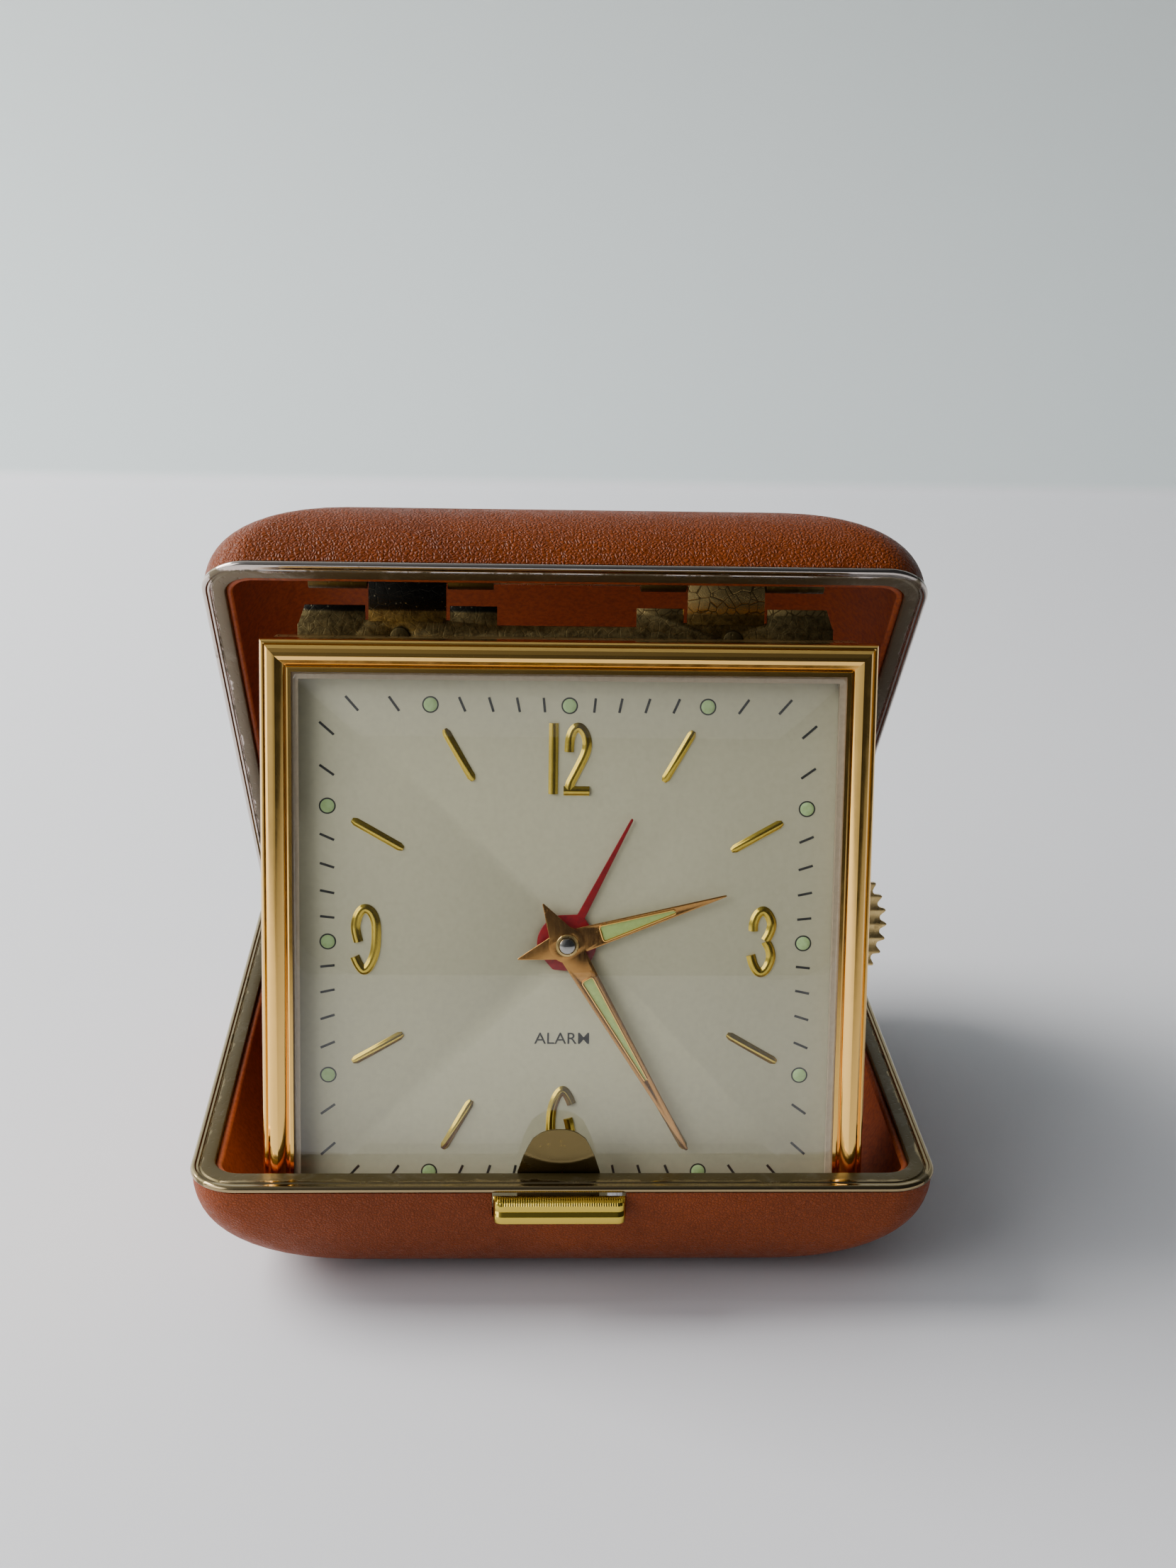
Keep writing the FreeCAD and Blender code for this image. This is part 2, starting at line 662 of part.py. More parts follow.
BATON_HOURS = [1, 2, 4, 5, 7, 8, 10, 11]
BATON_RADIUS = 23.2
BATON_LENGTH = 6.2
BATON_WIDTH = 1.0
MARK_HEIGHT = 0.3
batons = []
for hour in BATON_HOURS:
    angle = 90 - 30 * hour
    x = BATON_RADIUS * math.cos(math.radians(angle))
    y = BATON_RADIUS * math.sin(math.radians(angle))
    batons.append(radial_block(x, y, BATON_LENGTH, BATON_WIDTH, MARK_HEIGHT, angle))
primitive_fuse("dial_batons", batons, HEAD)

NUMERAL_STROKES = {
    "one": [(-1.75, 19.7, 7.8, 0.9, 90)],
    "two": [
        (0.95, 23.15, 2.6, 0.9, 0), (2.0, 21.6, 3.2, 0.9, 90),
        (1.0, 18.1, 4.6, 0.9, 65), (1.0, 16.25, 2.9, 0.9, 0),
    ],
    "three": [
        (21.1, 3.4, 2.4, 0.9, 0), (22.3, 1.9, 3.0, 0.9, 90),
        (21.6, 0.2, 1.6, 0.9, 0), (22.3, -1.7, 3.2, 0.9, 90), (21.1, -3.4, 2.4, 0.9, 0),
    ],
    "nine": [
        (-21.1, 3.4, 2.4, 0.9, 0), (-22.2, 1.9, 3.0, 0.9, 90), (-19.9, 0.5, 6.0, 0.9, 90),
        (-21.2, 0.2, 1.9, 0.9, 0), (-20.9, -3.2, 2.0, 0.9, 40),
    ],
    "six": [
        (0.2, -16.0, 2.0, 0.9, 40), (-1.2, -19.6, 6.4, 0.9, 90), (1.2, -21.0, 3.0, 0.9, 90),
        (0.0, -19.3, 1.9, 0.9, 0), (0.0, -22.9, 2.4, 0.9, 0),
    ],
}
strokes = [radial_block(x, y, length, width, MARK_HEIGHT, turn)
           for rows in NUMERAL_STROKES.values() for x, y, length, width, turn in rows]
primitive_fuse("dial_numerals", strokes, HEAD)

dots = []
for hour in range(12):
    angle = math.radians(90 - 30 * hour)
    reach = float(S.dot_square) / max(abs(math.cos(angle)), abs(math.sin(angle)))
    dots.append(rod(0.72, (reach * math.cos(angle), reach * math.sin(angle), 0), 0.12))
primitive_fuse("dial_lume_dots", dots, HEAD)


# ---------------------------------------------------------------- case band and cover
band = new_body("case_band")


def cut_square(sketch, half, foot, cut_line):
    """Square outline with its two lower corners cut off at 45 degrees."""
    polygon(sketch, [(-half, half - cut_line), (foot - cut_line, -foot), (cut_line - foot, -foot),
                     (half, half - cut_line), (half, half), (-half, half)])


def band_outline(sketch):
    cut_square(sketch, float(S.band_half), float(S.head_foot), CUT_LINE)


def band_inside(sketch):
    wall = float(S.band_wall)
    cut_square(sketch, float(S.band_half) - wall, float(S.head_foot) - wall, CUT_LINE - wall * math.sqrt(2))


pad(band, S.band_rear, S.band_front, band_outline)
pocket(band, S.band_rear, S.band_front, band_inside)
THUMB_SLOT = 8.4


def thumb_slot(sketch):
    rectangle(sketch, S.band_half - S.band_wall - 1, S.band_half + 1, -THUMB_SLOT, THUMB_SLOT)


pocket(band, S.band_rear, S.thumb_front + 0.35, thumb_slot)
finish("case_band", band, HEAD)

cover = new_body("back_cover")
COVER_BACK = S.band_rear - S.cover_sheet
DOME_HALF = 25.0
DOME_LOW = -23.5
DOME_HIGH = 22.0
pad(cover, COVER_BACK, S.band_rear, band_outline)
WALL = S.cover_sheet


def dome_outside(sketch):
    rectangle(sketch, -DOME_HALF, DOME_HALF, DOME_LOW, DOME_HIGH)


dome_pad = pad(cover, S.dome_rear, COVER_BACK, dome_outside)
fillet(cover, dome_pad, 3.0, lambda edge: upright(edge) and abs(edge.Vertexes[0].X) < DOME_HALF + 0.1)


def dome_inside(sketch):
    rectangle(sketch, -DOME_HALF + WALL, DOME_HALF - WALL, DOME_LOW + WALL, DOME_HIGH - WALL)


pocket(cover, S.dome_rear + WALL, S.band_rear, dome_inside)
for x, y in RIVETS:
    pocket(cover, COVER_BACK, S.band_rear, lambda k: circle(k, RIVET_HEAD + 0.1, x, y))

# Arbor positions on the movement, from the dial centre.
BARREL_X = S.winding_x - 33 * S.winding_module
THIRD = (-9.3, -3.39)
FOURTH = (-10.75, 4.83)
ESCAPE = (-16.64, 8.23)
PALLET = (-21.53, 6.45)
BALANCE = (-23.24, 1.75)
MINUTE_WHEEL = (-3.5355, -3.5355)
ALARM_SET = (0.0, 10.5)
ALARM_BARREL = (10.0, -16.85)
HAMMER = (20.0, -14.0)
REGULATOR = (-16.0, 14.0)
STOP_SLIDE = (14.0, 15.0)

for x, y, radius in ((0, 0, 1.2), (*ALARM_SET, 0.9), (*ALARM_BARREL, 1.2)):
    pocket(cover, S.dome_rear, S.dome_rear + WALL, lambda k: circle(k, radius, x, y))
slot_x, slot_y = STOP_SLIDE


def stop_slot(sketch):
    rectangle(sketch, slot_x - 3.2, slot_x + 3.2, slot_y - 0.8, slot_y + 0.8)


pocket(cover, S.dome_rear, S.dome_rear + WALL, stop_slot)
finish("back_cover", cover, HEAD)
screws = []
for x, y in ((-28.6, -28.2), (28.6, -28.2), (-28.6, 20.0), (28.6, 20.0)):
    screws.append(rod(1.3, (x, y, COVER_BACK - 0.6), 0.6))
primitive_fuse("back_cover_screws", screws, HEAD)


# ---------------------------------------------------------------- wheels
TOOTH_SHARE = 0.42
ADDENDUM = 0.7
DEDENDUM = 1.0
FLANK_ANGLE = 20


def tip_radius(teeth, module):
    return module * (teeth / 2 + ADDENDUM)


def pitch_radius(teeth, module):
    return module * teeth / 2


def cut_teeth(body, low, high, teeth, module, phase=0.0):
    """Cut one gap between teeth, on the X axis turned by phase, and repeat it.

    The gap is a trapezoid whose flanks lean by FLANK_ANGLE.
    """
    pitch = float(pitch_radius(teeth, module))
    size = float(module)
    half_gap = math.pi * size * (1 - TOOTH_SHARE) / 2
    slope = math.tan(math.radians(FLANK_ANGLE))
    outer = pitch + ADDENDUM * size + 0.15
    inner = pitch - DEDENDUM * size
    root = half_gap + (inner - pitch) * slope
    mouth = half_gap + (outer - pitch) * slope

    def gap(sketch):
        polygon(sketch, [(inner, -root), (outer, -mouth), (outer, mouth), (inner, root)])

    feature = pocket(body, low, high, gap, turn=phase)
    pattern(body, feature, teeth)


def toward(first, second):
    """The direction from one arbor to another, in degrees."""
    return math.degrees(math.atan2(second[1] - first[1], second[0] - first[0]))


def tooth_phase(direction, teeth):
    """The gap phase that puts a tooth on a direction."""
    return direction + 180 / teeth


CENTRE = (0.0, 0.0)
BARREL = (float(BARREL_X), 0.0)
THUMB = (float(S.winding_x), 0.0)
TRAIN = S.train_module
MOTION = S.motion_module
FINE = S.fine_module
PLATE_FACE = S.plate_front - S.plate_sheet
PIVOT_END = S.plate_front - 0.1
REAR_PIVOT = S.plate_rear - S.plate_sheet + 0.1
ARBOR_END = -15.3

# Centre wheel: barrel-driven pinion, big wheel and the long arbor that carries the hands.
CENTRE_TEETH, CENTRE_PINION = 64, 9
BARREL_TEETH = 72
THIRD_TEETH, THIRD_PINION = 50, 8
WHEEL_TOP = -8.0
WHEEL_LOW = -8.5
centre = new_body("centre_wheel")
centre_tip = tip_radius(CENTRE_TEETH, TRAIN)
pinion_tip = tip_radius(CENTRE_PINION, TRAIN)
turned(centre, [
    (0, 2.05), (0.45, 1.95), (S.centre_arbor, 1.6), (S.centre_arbor, -3.7), (pinion_tip, -3.7),
    (pinion_tip, -4.5), (S.centre_arbor, -4.5), (S.centre_arbor, WHEEL_TOP), (centre_tip, WHEEL_TOP),
    (centre_tip, WHEEL_LOW), (S.centre_arbor, WHEEL_LOW), (S.centre_arbor, ARBOR_END), (0, ARBOR_END),
])
third_side = tooth_phase(toward(CENTRE, THIRD), CENTRE_TEETH)
barrel_side = tooth_phase(toward(CENTRE, BARREL), CENTRE_PINION)
cut_teeth(centre, WHEEL_LOW, WHEEL_TOP, CENTRE_TEETH, TRAIN, third_side)
cut_teeth(centre, -4.5, -3.7, CENTRE_PINION, TRAIN, barrel_side)
finish("centre_wheel", centre, on_head())

barrel = new_body("mainspring_barrel")
barrel_tip = tip_radius(BARREL_TEETH, TRAIN)
turned(barrel, [
    (0.95, -3.8), (barrel_tip, -3.8), (barrel_tip, -4.4), (8.9, -4.4), (8.9, -7.8),
    (8.5, -7.8), (8.5, -4.4), (0.95, -4.4),
])
cut_teeth(barrel, -4.4, -3.8, BARREL_TEETH, TRAIN, toward(BARREL, CENTRE))
finish("mainspring_barrel", barrel, on_head(*BARREL))

third = new_body("third_wheel")
third_tip = tip_radius(THIRD_TEETH, TRAIN)
third_pinion_tip = tip_radius(THIRD_PINION, TRAIN)
turned(third, [
    (0, PIVOT_END), (S.arbor, PIVOT_END), (S.arbor, -5.0), (third_tip, -5.0), (third_tip, -5.4),
    (S.arbor, -5.4), (S.arbor, -7.0), (third_pinion_tip, -7.0), (third_pinion_tip, -8.7),
    (S.arbor, -8.7), (S.arbor, REAR_PIVOT), (0, REAR_PIVOT),
])
cut_teeth(third, -8.7, -7.0, THIRD_PINION, TRAIN, toward(THIRD, CENTRE))
cut_teeth(third, -5.4, -5.0, THIRD_TEETH, TRAIN)
finish("third_wheel", third, on_head(*THIRD))

FOURTH_TEETH, FOURTH_PINION = 60, 8
ESCAPE_PINION = 8
fourth = new_body("fourth_wheel")
fourth_tip = tip_radius(FOURTH_TEETH, FINE)
fourth_pinion_tip = tip_radius(FOURTH_PINION, TRAIN) - 0.1
turned(fourth, [
    (0, PIVOT_END), (S.arbor, PIVOT_END), (S.arbor, -4.7), (fourth_pinion_tip, -4.7),
    (fourth_pinion_tip, -5.8), (S.arbor, -5.8), (S.arbor, -7.1), (fourth_tip, -7.1), (fourth_tip, -7.5),
    (S.arbor, -7.5), (S.arbor, REAR_PIVOT), (0, REAR_PIVOT),
])
cut_teeth(fourth, -7.5, -7.1, FOURTH_TEETH, FINE, tooth_phase(toward(FOURTH, ESCAPE), FOURTH_TEETH))
cut_teeth(fourth, -5.8, -4.7, FOURTH_PINION, TRAIN)
finish("fourth_wheel", fourth, on_head(*FOURTH))

escape = new_body("escape_wheel")
ESCAPE_RADIUS = 3.6
escape_pinion_tip = tip_radius(ESCAPE_PINION, FINE)
turned(escape, [
    (0, PIVOT_END), (0.4, PIVOT_END), (0.4, -5.0), (ESCAPE_RADIUS, -5.0), (ESCAPE_RADIUS, -5.4),
    (0.4, -5.4), (0.4, -6.8), (escape_pinion_tip, -6.8), (escape_pinion_tip, -7.8),
    (0.4, -7.8), (0.4, REAR_PIVOT), (0, REAR_PIVOT),
])
cut_teeth(escape, -7.8, -6.8, ESCAPE_PINION, FINE, toward(ESCAPE, FOURTH))


def escape_gap(sketch):
    polygon(sketch, [(2.5, 0.0), (3.9, -0.75), (3.9, 0.45)])


escape_cut = pocket(escape, -5.4, -5.0, escape_gap)
pattern(escape, escape_cut, 15)
finish("escape_wheel", escape, on_head(*ESCAPE))

fork = new_body("pallet_fork")
turned(fork, [(0, PIVOT_END), (0.35, PIVOT_END), (0.35, -6.0), (0, -6.0)])


def fork_outline(sketch):
    outline = [(-0.6, -0.5), (-0.35, -3.0), (0.35, -3.0), (0.6, -0.5), (0.3, 1.6), (0.0, 1.6)]
    polygon(sketch, outline)


pad(fork, -5.5, -5.1, fork_outline)
finish("pallet_fork", fork, on_head(*PALLET, toward(PALLET, BALANCE) + 90))

balance = new_body("balance_wheel")
BALANCE_OUT = 4.2
turned(balance, [
    (0, PIVOT_END), (0.3, PIVOT_END), (0.3, -6.3), (BALANCE_OUT, -6.3), (BALANCE_OUT, -6.9),
    (0.3, -6.9), (0.3, REAR_PIVOT), (0, REAR_PIVOT),
])
for side in (0, 180):
    def window(sketch):
        polygon(sketch, [(-2.2, 0.5), (2.2, 0.5), (1.8, 2.6), (0.0, 3.4), (-1.8, 2.6)])

    pocket(balance, -6.9, -6.3, window, turn=side)
finish("balance_wheel", balance, on_head(*BALANCE))

HAIRSPRING_TURNS = 5
HAIRSPRING_TALL = 0.3
coil_centre = Vector(*BALANCE, -7.9)
coils = []
for turn in range(HAIRSPRING_TURNS):
    radius = 0.9 + 0.45 * turn
    disc = Part.makeCylinder(radius, HAIRSPRING_TALL, coil_centre)
    coils.append(disc.cut(Part.makeCylinder(radius - 0.12, HAIRSPRING_TALL, coil_centre)))
bridge = Part.makeBox(2.2, 0.2, HAIRSPRING_TALL, coil_centre + Vector(0.78, -0.1, 0))
solid_feature("hairspring", bridge.multiFuse(coils), HEAD)

# Motion works, between the dial and the front plate.
CANNON_TEETH, MINUTE_TEETH = 10, 30
MINUTE_PINION, HOUR_TEETH = 8, 32
ALARM_TEETH, ALARM_PINION = 72, 12
MINUTE_HUB = S.minute_level + S.hand_sheet
CANNON_BORE = S.centre_arbor + S.running
CANNON_TUBE = 1.05
HOUR_TUBE = 1.35
ALARM_TUBE = 1.65
cannon = new_body("cannon_pinion")
cannon_tip = tip_radius(CANNON_TEETH, MOTION)
turned(cannon, [
    (CANNON_BORE, MINUTE_HUB), (CANNON_TUBE, MINUTE_HUB), (CANNON_TUBE, -1.7), (cannon_tip, -1.7),
    (cannon_tip, -2.3), (CANNON_BORE, -2.3),
])
cannon_phase = tooth_phase(toward(CENTRE, MINUTE_WHEEL), CANNON_TEETH)
cut_teeth(cannon, -2.3, -1.7, CANNON_TEETH, MOTION, cannon_phase)
finish("cannon_pinion", cannon, on_head())

minute_wheel = new_body("minute_wheel")
minute_tip = tip_radius(MINUTE_TEETH, MOTION)
small_tip = tip_radius(MINUTE_PINION, MOTION)
turned(minute_wheel, [
    (0.44, -1.1), (small_tip, -1.1), (small_tip, -1.75), (minute_tip, -1.75),
    (minute_tip, -2.2), (0.44, -2.2),
])
back_to_centre = toward(MINUTE_WHEEL, CENTRE)
cut_teeth(minute_wheel, -2.2, -1.75, MINUTE_TEETH, MOTION, back_to_centre)
cut_teeth(minute_wheel, -1.75, -1.1, MINUTE_PINION, MOTION, tooth_phase(back_to_centre, MINUTE_PINION))
finish("minute_wheel", minute_wheel, on_head(*MINUTE_WHEEL))

hour_wheel = new_body("hour_wheel")
hour_tip = tip_radius(HOUR_TEETH, MOTION)
HOUR_HUB = S.hour_level + S.hand_sheet
turned(hour_wheel, [
    (CANNON_TUBE + 0.03, HOUR_HUB), (HOUR_TUBE, HOUR_HUB), (HOUR_TUBE, -1.2), (hour_tip, -1.2),
    (hour_tip, -1.6), (CANNON_TUBE + 0.03, -1.6),
])
cut_teeth(hour_wheel, -1.6, -1.2, HOUR_TEETH, MOTION, toward(CENTRE, MINUTE_WHEEL))
finish("hour_wheel", hour_wheel, on_head())

alarm_wheel = new_body("alarm_wheel")
alarm_tip = tip_radius(ALARM_TEETH, MOTION)
ALARM_HUB = S.alarm_level + S.hand_sheet
turned(alarm_wheel, [
    (HOUR_TUBE + 0.03, ALARM_HUB), (ALARM_TUBE, ALARM_HUB), (ALARM_TUBE, -0.55), (alarm_tip, -0.55),
    (alarm_tip, -0.95), (HOUR_TUBE + 0.03, -0.95),
])
cut_teeth(alarm_wheel, -0.95, -0.55, ALARM_TEETH, MOTION, toward(CENTRE, ALARM_SET))
finish("alarm_wheel", alarm_wheel, on_head())

alarm_arbor = new_body("alarm_setting_arbor")
alarm_pinion_tip = tip_radius(ALARM_PINION, MOTION)
turned(alarm_arbor, [
    (0, -0.45), (alarm_pinion_tip, -0.45), (alarm_pinion_tip, -1.05), (S.arbor, -1.05),
    (S.arbor, ARBOR_END), (0, ARBOR_END),
])
set_phase = tooth_phase(toward(ALARM_SET, CENTRE), ALARM_PINION)
cut_teeth(alarm_arbor, -1.05, -0.45, ALARM_PINION, MOTION, set_phase)
finish("alarm_setting_arbor", alarm_arbor, on_head(*ALARM_SET))

# Winding: a toothed thumb wheel at the edge of the case turns the barrel arbor's wheel.
WINDING_TEETH = 33
THUMB_BACK = S.thumb_front - S.thumb_sheet
thumb = new_body("winding_thumb_wheel")
winding_tip = tip_radius(WINDING_TEETH, S.winding_module)
turned(thumb, [
    (0.54, S.thumb_front), (winding_tip, S.thumb_front), (winding_tip, THUMB_BACK), (0.54, THUMB_BACK),
])
cut_teeth(thumb, THUMB_BACK, S.thumb_front, WINDING_TEETH, S.winding_module,
          tooth_phase(toward(THUMB, BARREL), WINDING_TEETH))
finish("winding_thumb_wheel", thumb, on_head(*THUMB))

ratchet = new_body("barrel_arbor")
turned(ratchet, [
    (0, -3.0), (0.9, -3.0), (0.9, S.thumb_front), (winding_tip, S.thumb_front),
    (winding_tip, THUMB_BACK), (0, THUMB_BACK),
])
cut_teeth(ratchet, THUMB_BACK, S.thumb_front, WINDING_TEETH, S.winding_module, toward(BARREL, THUMB))
finish("barrel_arbor", ratchet, on_head(*BARREL))

alarm_barrel = new_body("alarm_barrel")
turned(alarm_barrel, [
    (0, -3.0), (0.9, -3.0), (0.9, -4.0), (5.9, -4.0), (5.9, -7.8), (0.9, -7.8),
    (0.9, ARBOR_END), (0, ARBOR_END),
])
finish("alarm_barrel", alarm_barrel, on_head(*ALARM_BARREL))

hammer = new_body("alarm_hammer")
turned(hammer, [(0, PIVOT_END), (S.arbor, PIVOT_END), (S.arbor, REAR_PIVOT), (0, REAR_PIVOT)])


def hammer_outline(sketch):
    upper = [(9.4, 1.6), (7.6, 1.6), (7.6, 0.5), (-1.0, 0.8)]
    lower = [(x, -y) for x, y in reversed(upper)]
    polygon(sketch, lower + upper)


pad(hammer, -6.4, -5.4, hammer_outline)
finish("alarm_hammer", hammer, on_head(*HAMMER, -60))


# ---------------------------------------------------------------- movement plates
FREE = S.running
ARBOR_HOLES = [
    (0, 0, S.centre_arbor), (*THIRD, S.arbor), (*FOURTH, S.arbor), (*ESCAPE, 0.4),
    (*PALLET, 0.35), (*BALANCE, 0.3), (*ALARM_SET, S.arbor), (*BARREL, 0.9),
    (*ALARM_BARREL, 0.9), (*HAMMER, S.arbor),
]


def movement_plate(label, front, skipped):
    """A plate with a running hole for each arbor; pillars stand in its corners."""
    plate = new_body(label)
    back = front - S.plate_sheet
    wide, tall = S.plate_half_wide, S.plate_half_tall
    outline = pad(plate, back, front, lambda k: rectangle(k, -wide, wide, -tall, tall))
    fillet(plate, outline, 3.0, upright)
    for x, y, radius in ARBOR_HOLES:
        if (x, y) not in skipped:
            pocket(plate, back, front, lambda k: circle(k, as_size(radius) + FREE, x, y))
    finish(label, plate, HEAD)


movement_plate("front_plate", S.plate_front, [])
movement_plate("back_plate", S.plate_rear, [PALLET])
PILLARS = [(-26.5, -20.5), (26.5, 20.5), (-26.5, 20.5), (14.5, 20.5), (-5.0, -20.5)]
SOUNDING_POST = (28.7, -20.0)
pillars = [rod(1.4, (x, y, S.plate_rear), PLATE_FACE - S.plate_rear) for x, y in PILLARS]
pillars.append(rod(1.1, (*SOUNDING_POST, S.plate_rear), PLATE_FACE - S.plate_rear))
primitive_fuse("plate_pillars", pillars, HEAD)
plate_screws = [rod(1.1, (x, y, S.plate_front), 0.7) for x, y in PILLARS]
primitive_fuse("plate_screws", plate_screws, HEAD)
minute_stud = rod(0.4, (*MINUTE_WHEEL, S.plate_front), 1.75)
thumb_stud = rod(S.arbor, (*THUMB, THUMB_BACK - 0.1), S.plate_rear - S.plate_sheet - THUMB_BACK + 0.1)
primitive_fuse("movement_studs", [minute_stud, thumb_stud], HEAD)


# ---------------------------------------------------------------- knobs and levers
def knob(label, place, radius, hole):
    """A fluted setting knob on the end of an arbor behind the back cover."""
    body = new_body(label)
    front = S.dome_rear - 0.35
    turned(body, [
        (0, ARBOR_END), (hole, ARBOR_END), (radius - 0.3, front - 0.1), (radius, front - 0.4),
        (radius, S.knob_rear + 0.4), (radius - 0.4, S.knob_rear), (0, S.knob_rear),
    ])
    flute = pocket(body, S.knob_rear, front, lambda k: circle(k, 0.35, radius + 0.1, 0))
    pattern(body, flute, 24)
    finish(label, body, on_head(*place))


knob("hand_setting_knob", CENTRE, S.centre_arbor * 5.6, 0.8)
knob("alarm_setting_knob", ALARM_SET, S.arbor * 8, 0.5)

key = new_body("alarm_winding_key")
turned(key, [(0, ARBOR_END), (1.8, ARBOR_END), (1.8, -17.2), (0, -17.2)])
pad(key, S.knob_rear, -17.2, lambda k: rectangle(k, -4.6, 4.6, -0.7, 0.7))
finish("alarm_winding_key", key, on_head(*ALARM_BARREL, 20))

slide_x, slide_y = STOP_SLIDE
SLIDE_BACK = S.dome_rear - 0.05
shank = box(slide_x - 1.2, slide_x + 1.2, slide_y - 0.7, slide_y + 0.7, SLIDE_BACK, S.dome_rear + 0.8)
thumb_piece = box(slide_x - 2, slide_x + 2, slide_y - 2, slide_y + 2, S.dome_rear - 1.4, SLIDE_BACK)
primitive_fuse("alarm_stop_slide", [shank, thumb_piece], HEAD)

regulator = new_body("regulator_lever")
LEVER_BACK = SLIDE_BACK - 0.6
pad(regulator, LEVER_BACK, SLIDE_BACK, lambda k: circle(k, 1.3))


def pointer(sketch):
    polygon(sketch, [(-0.6, 0.8), (0.6, 0.8), (0.2, 5.5), (-0.2, 5.5)])


pad(regulator, LEVER_BACK, SLIDE_BACK, pointer)
finish("regulator_lever", regulator, on_head(*REGULATOR))


# ---------------------------------------------------------------- hands
# Where the hands stand: clock angles from twelve, in degrees.
MINUTE_ANGLE = 149.6
HOUR_ANGLE = 72.5
ALARM_ANGLE = 26.8


def hand(label, level, outline, hub, bore, window, angle):
    """A flat stamped hand: hub ring, tapered blade and tail, with a slot for the lume."""
    body = new_body(label)
    top = level + S.hand_sheet
    pad(body, level, top, lambda k: circle(k, hub))
    pad(body, level, top, lambda k: polygon(k, outline))
    pocket(body, level, top, lambda k: circle(k, bore))
    if window:
        pocket(body, level, top, lambda k: polygon(k, window))
    finish(label, body, on_head(turn=-angle))


def lume(label, level, window, angle):
    """The luminous filling of a hand's slot, a little thinner than the hand."""
    body = new_body(label)
    pad(body, level + 0.02, level + S.hand_sheet - 0.02, lambda k: polygon(k, window))
    finish(label, body, on_head(turn=-angle))


minute_window = [(-0.67, 4.3), (0.67, 4.3), (0.16, 17.2), (-0.16, 17.2)]
hour_window = [(-0.9, 3.85), (0.9, 3.85), (0.22, 12.1), (-0.22, 12.1)]
minute_outline = [
    (-1.3, -1.2), (0.0, -5.2), (1.3, -1.2), (1.38, 1.4), (0.47, 18.0),
    (0.47, S.minute_length), (-0.47, S.minute_length), (-0.47, 18.0), (-1.38, 1.4),
]
hour_outline = [
    (-1.5, -2.0), (0.0, -5.5), (1.5, -2.0), (1.4, 1.4),
    (0.12, S.hour_length), (-0.12, S.hour_length), (-1.4, 1.4),
]
alarm_outline = [(-0.45, 1.9), (0.45, 1.9), (0.15, S.alarm_length), (-0.15, S.alarm_length)]
hand("minute_hand", S.minute_level, minute_outline, 1.95, CANNON_TUBE, minute_window, MINUTE_ANGLE)
hand("hour_hand", S.hour_level, hour_outline, 2.1, HOUR_TUBE, hour_window, HOUR_ANGLE)
hand("alarm_hand", S.alarm_level, alarm_outline, 3.2, ALARM_TUBE, None, ALARM_ANGLE)
lume("minute_hand_lume", S.minute_level, minute_window, MINUTE_ANGLE)
lume("hour_hand_lume", S.hour_level, hour_window, HOUR_ANGLE)


# ---------------------------------------------------------------- check and write
doc.recompute()
faulty = [item.Label for item in doc.Objects if {"Invalid", "Error"} & set(item.State)]
for label, feature in subparts.items():
    if feature.Shape.isNull() or not feature.Shape.isValid():
        faulty.append(label)
if faulty:
    raise RuntimeError("failed: " + ", ".join(faulty))
os.makedirs("parts", exist_ok=True)
for label, feature in subparts.items():
    feature.Shape.exportStep(f"parts/{label}.step")
    print(f"{label}: {feature.Shape.Volume:.1f} mm3, {len(feature.Shape.Solids)} solids")
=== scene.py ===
# %% [markdown]
# # A folding travel alarm clock
#
# This clock stands in its own leather case.  The case is two shallow trays that are hinged
# at the back.  The clock head hangs from the lid's front edge and rests in the base tray.
# The mechanical model comes first, as a fixed frame of named parts, and this script dresses
# it: each visible piece is a surface worked out with numpy, in the place that the frame gives.

# %% Load the frame and keep its box
import math

import bmesh
import bpy
import numpy as np
from mathutils import Matrix, Vector


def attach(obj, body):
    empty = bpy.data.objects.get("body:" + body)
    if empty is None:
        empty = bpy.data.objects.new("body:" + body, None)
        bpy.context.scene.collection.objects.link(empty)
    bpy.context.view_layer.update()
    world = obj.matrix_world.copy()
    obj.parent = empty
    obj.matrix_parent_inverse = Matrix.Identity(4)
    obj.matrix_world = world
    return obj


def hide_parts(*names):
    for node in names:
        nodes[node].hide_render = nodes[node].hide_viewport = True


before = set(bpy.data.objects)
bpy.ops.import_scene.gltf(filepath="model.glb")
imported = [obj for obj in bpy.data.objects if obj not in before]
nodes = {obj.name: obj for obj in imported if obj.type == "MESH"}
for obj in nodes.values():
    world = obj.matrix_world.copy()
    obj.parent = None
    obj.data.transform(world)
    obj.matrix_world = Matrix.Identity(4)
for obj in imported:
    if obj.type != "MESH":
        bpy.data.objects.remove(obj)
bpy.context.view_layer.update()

# %% [markdown]
# ## Working frames
#
# A case half, the lid and the clock head each lean at their own angle.  It is far easier to
# draw a piece flat, in millimetres, and to carry the finished points into place with one
# matrix.  The matrices below are those of the mechanical model.  The lid's tray is the base
# tray turned over, so one drawing serves both.

# %% Matrices from a flat drawing in millimetres to the scene in metres
MM = 0.001
RIM_Z = 15.2
HINGE_Y = 40.3
LID_ANGLE = math.radians(-48.7)
HEAD_ANGLE = math.radians(78.75)
DIAL_CENTRE = (0.0, -26.8, 37.7)


def placed(*steps):
    """Product of the steps, with millimetres turned into metres last."""
    whole = Matrix.Scale(MM, 4)
    for step in steps:
        whole = whole @ step
    return whole


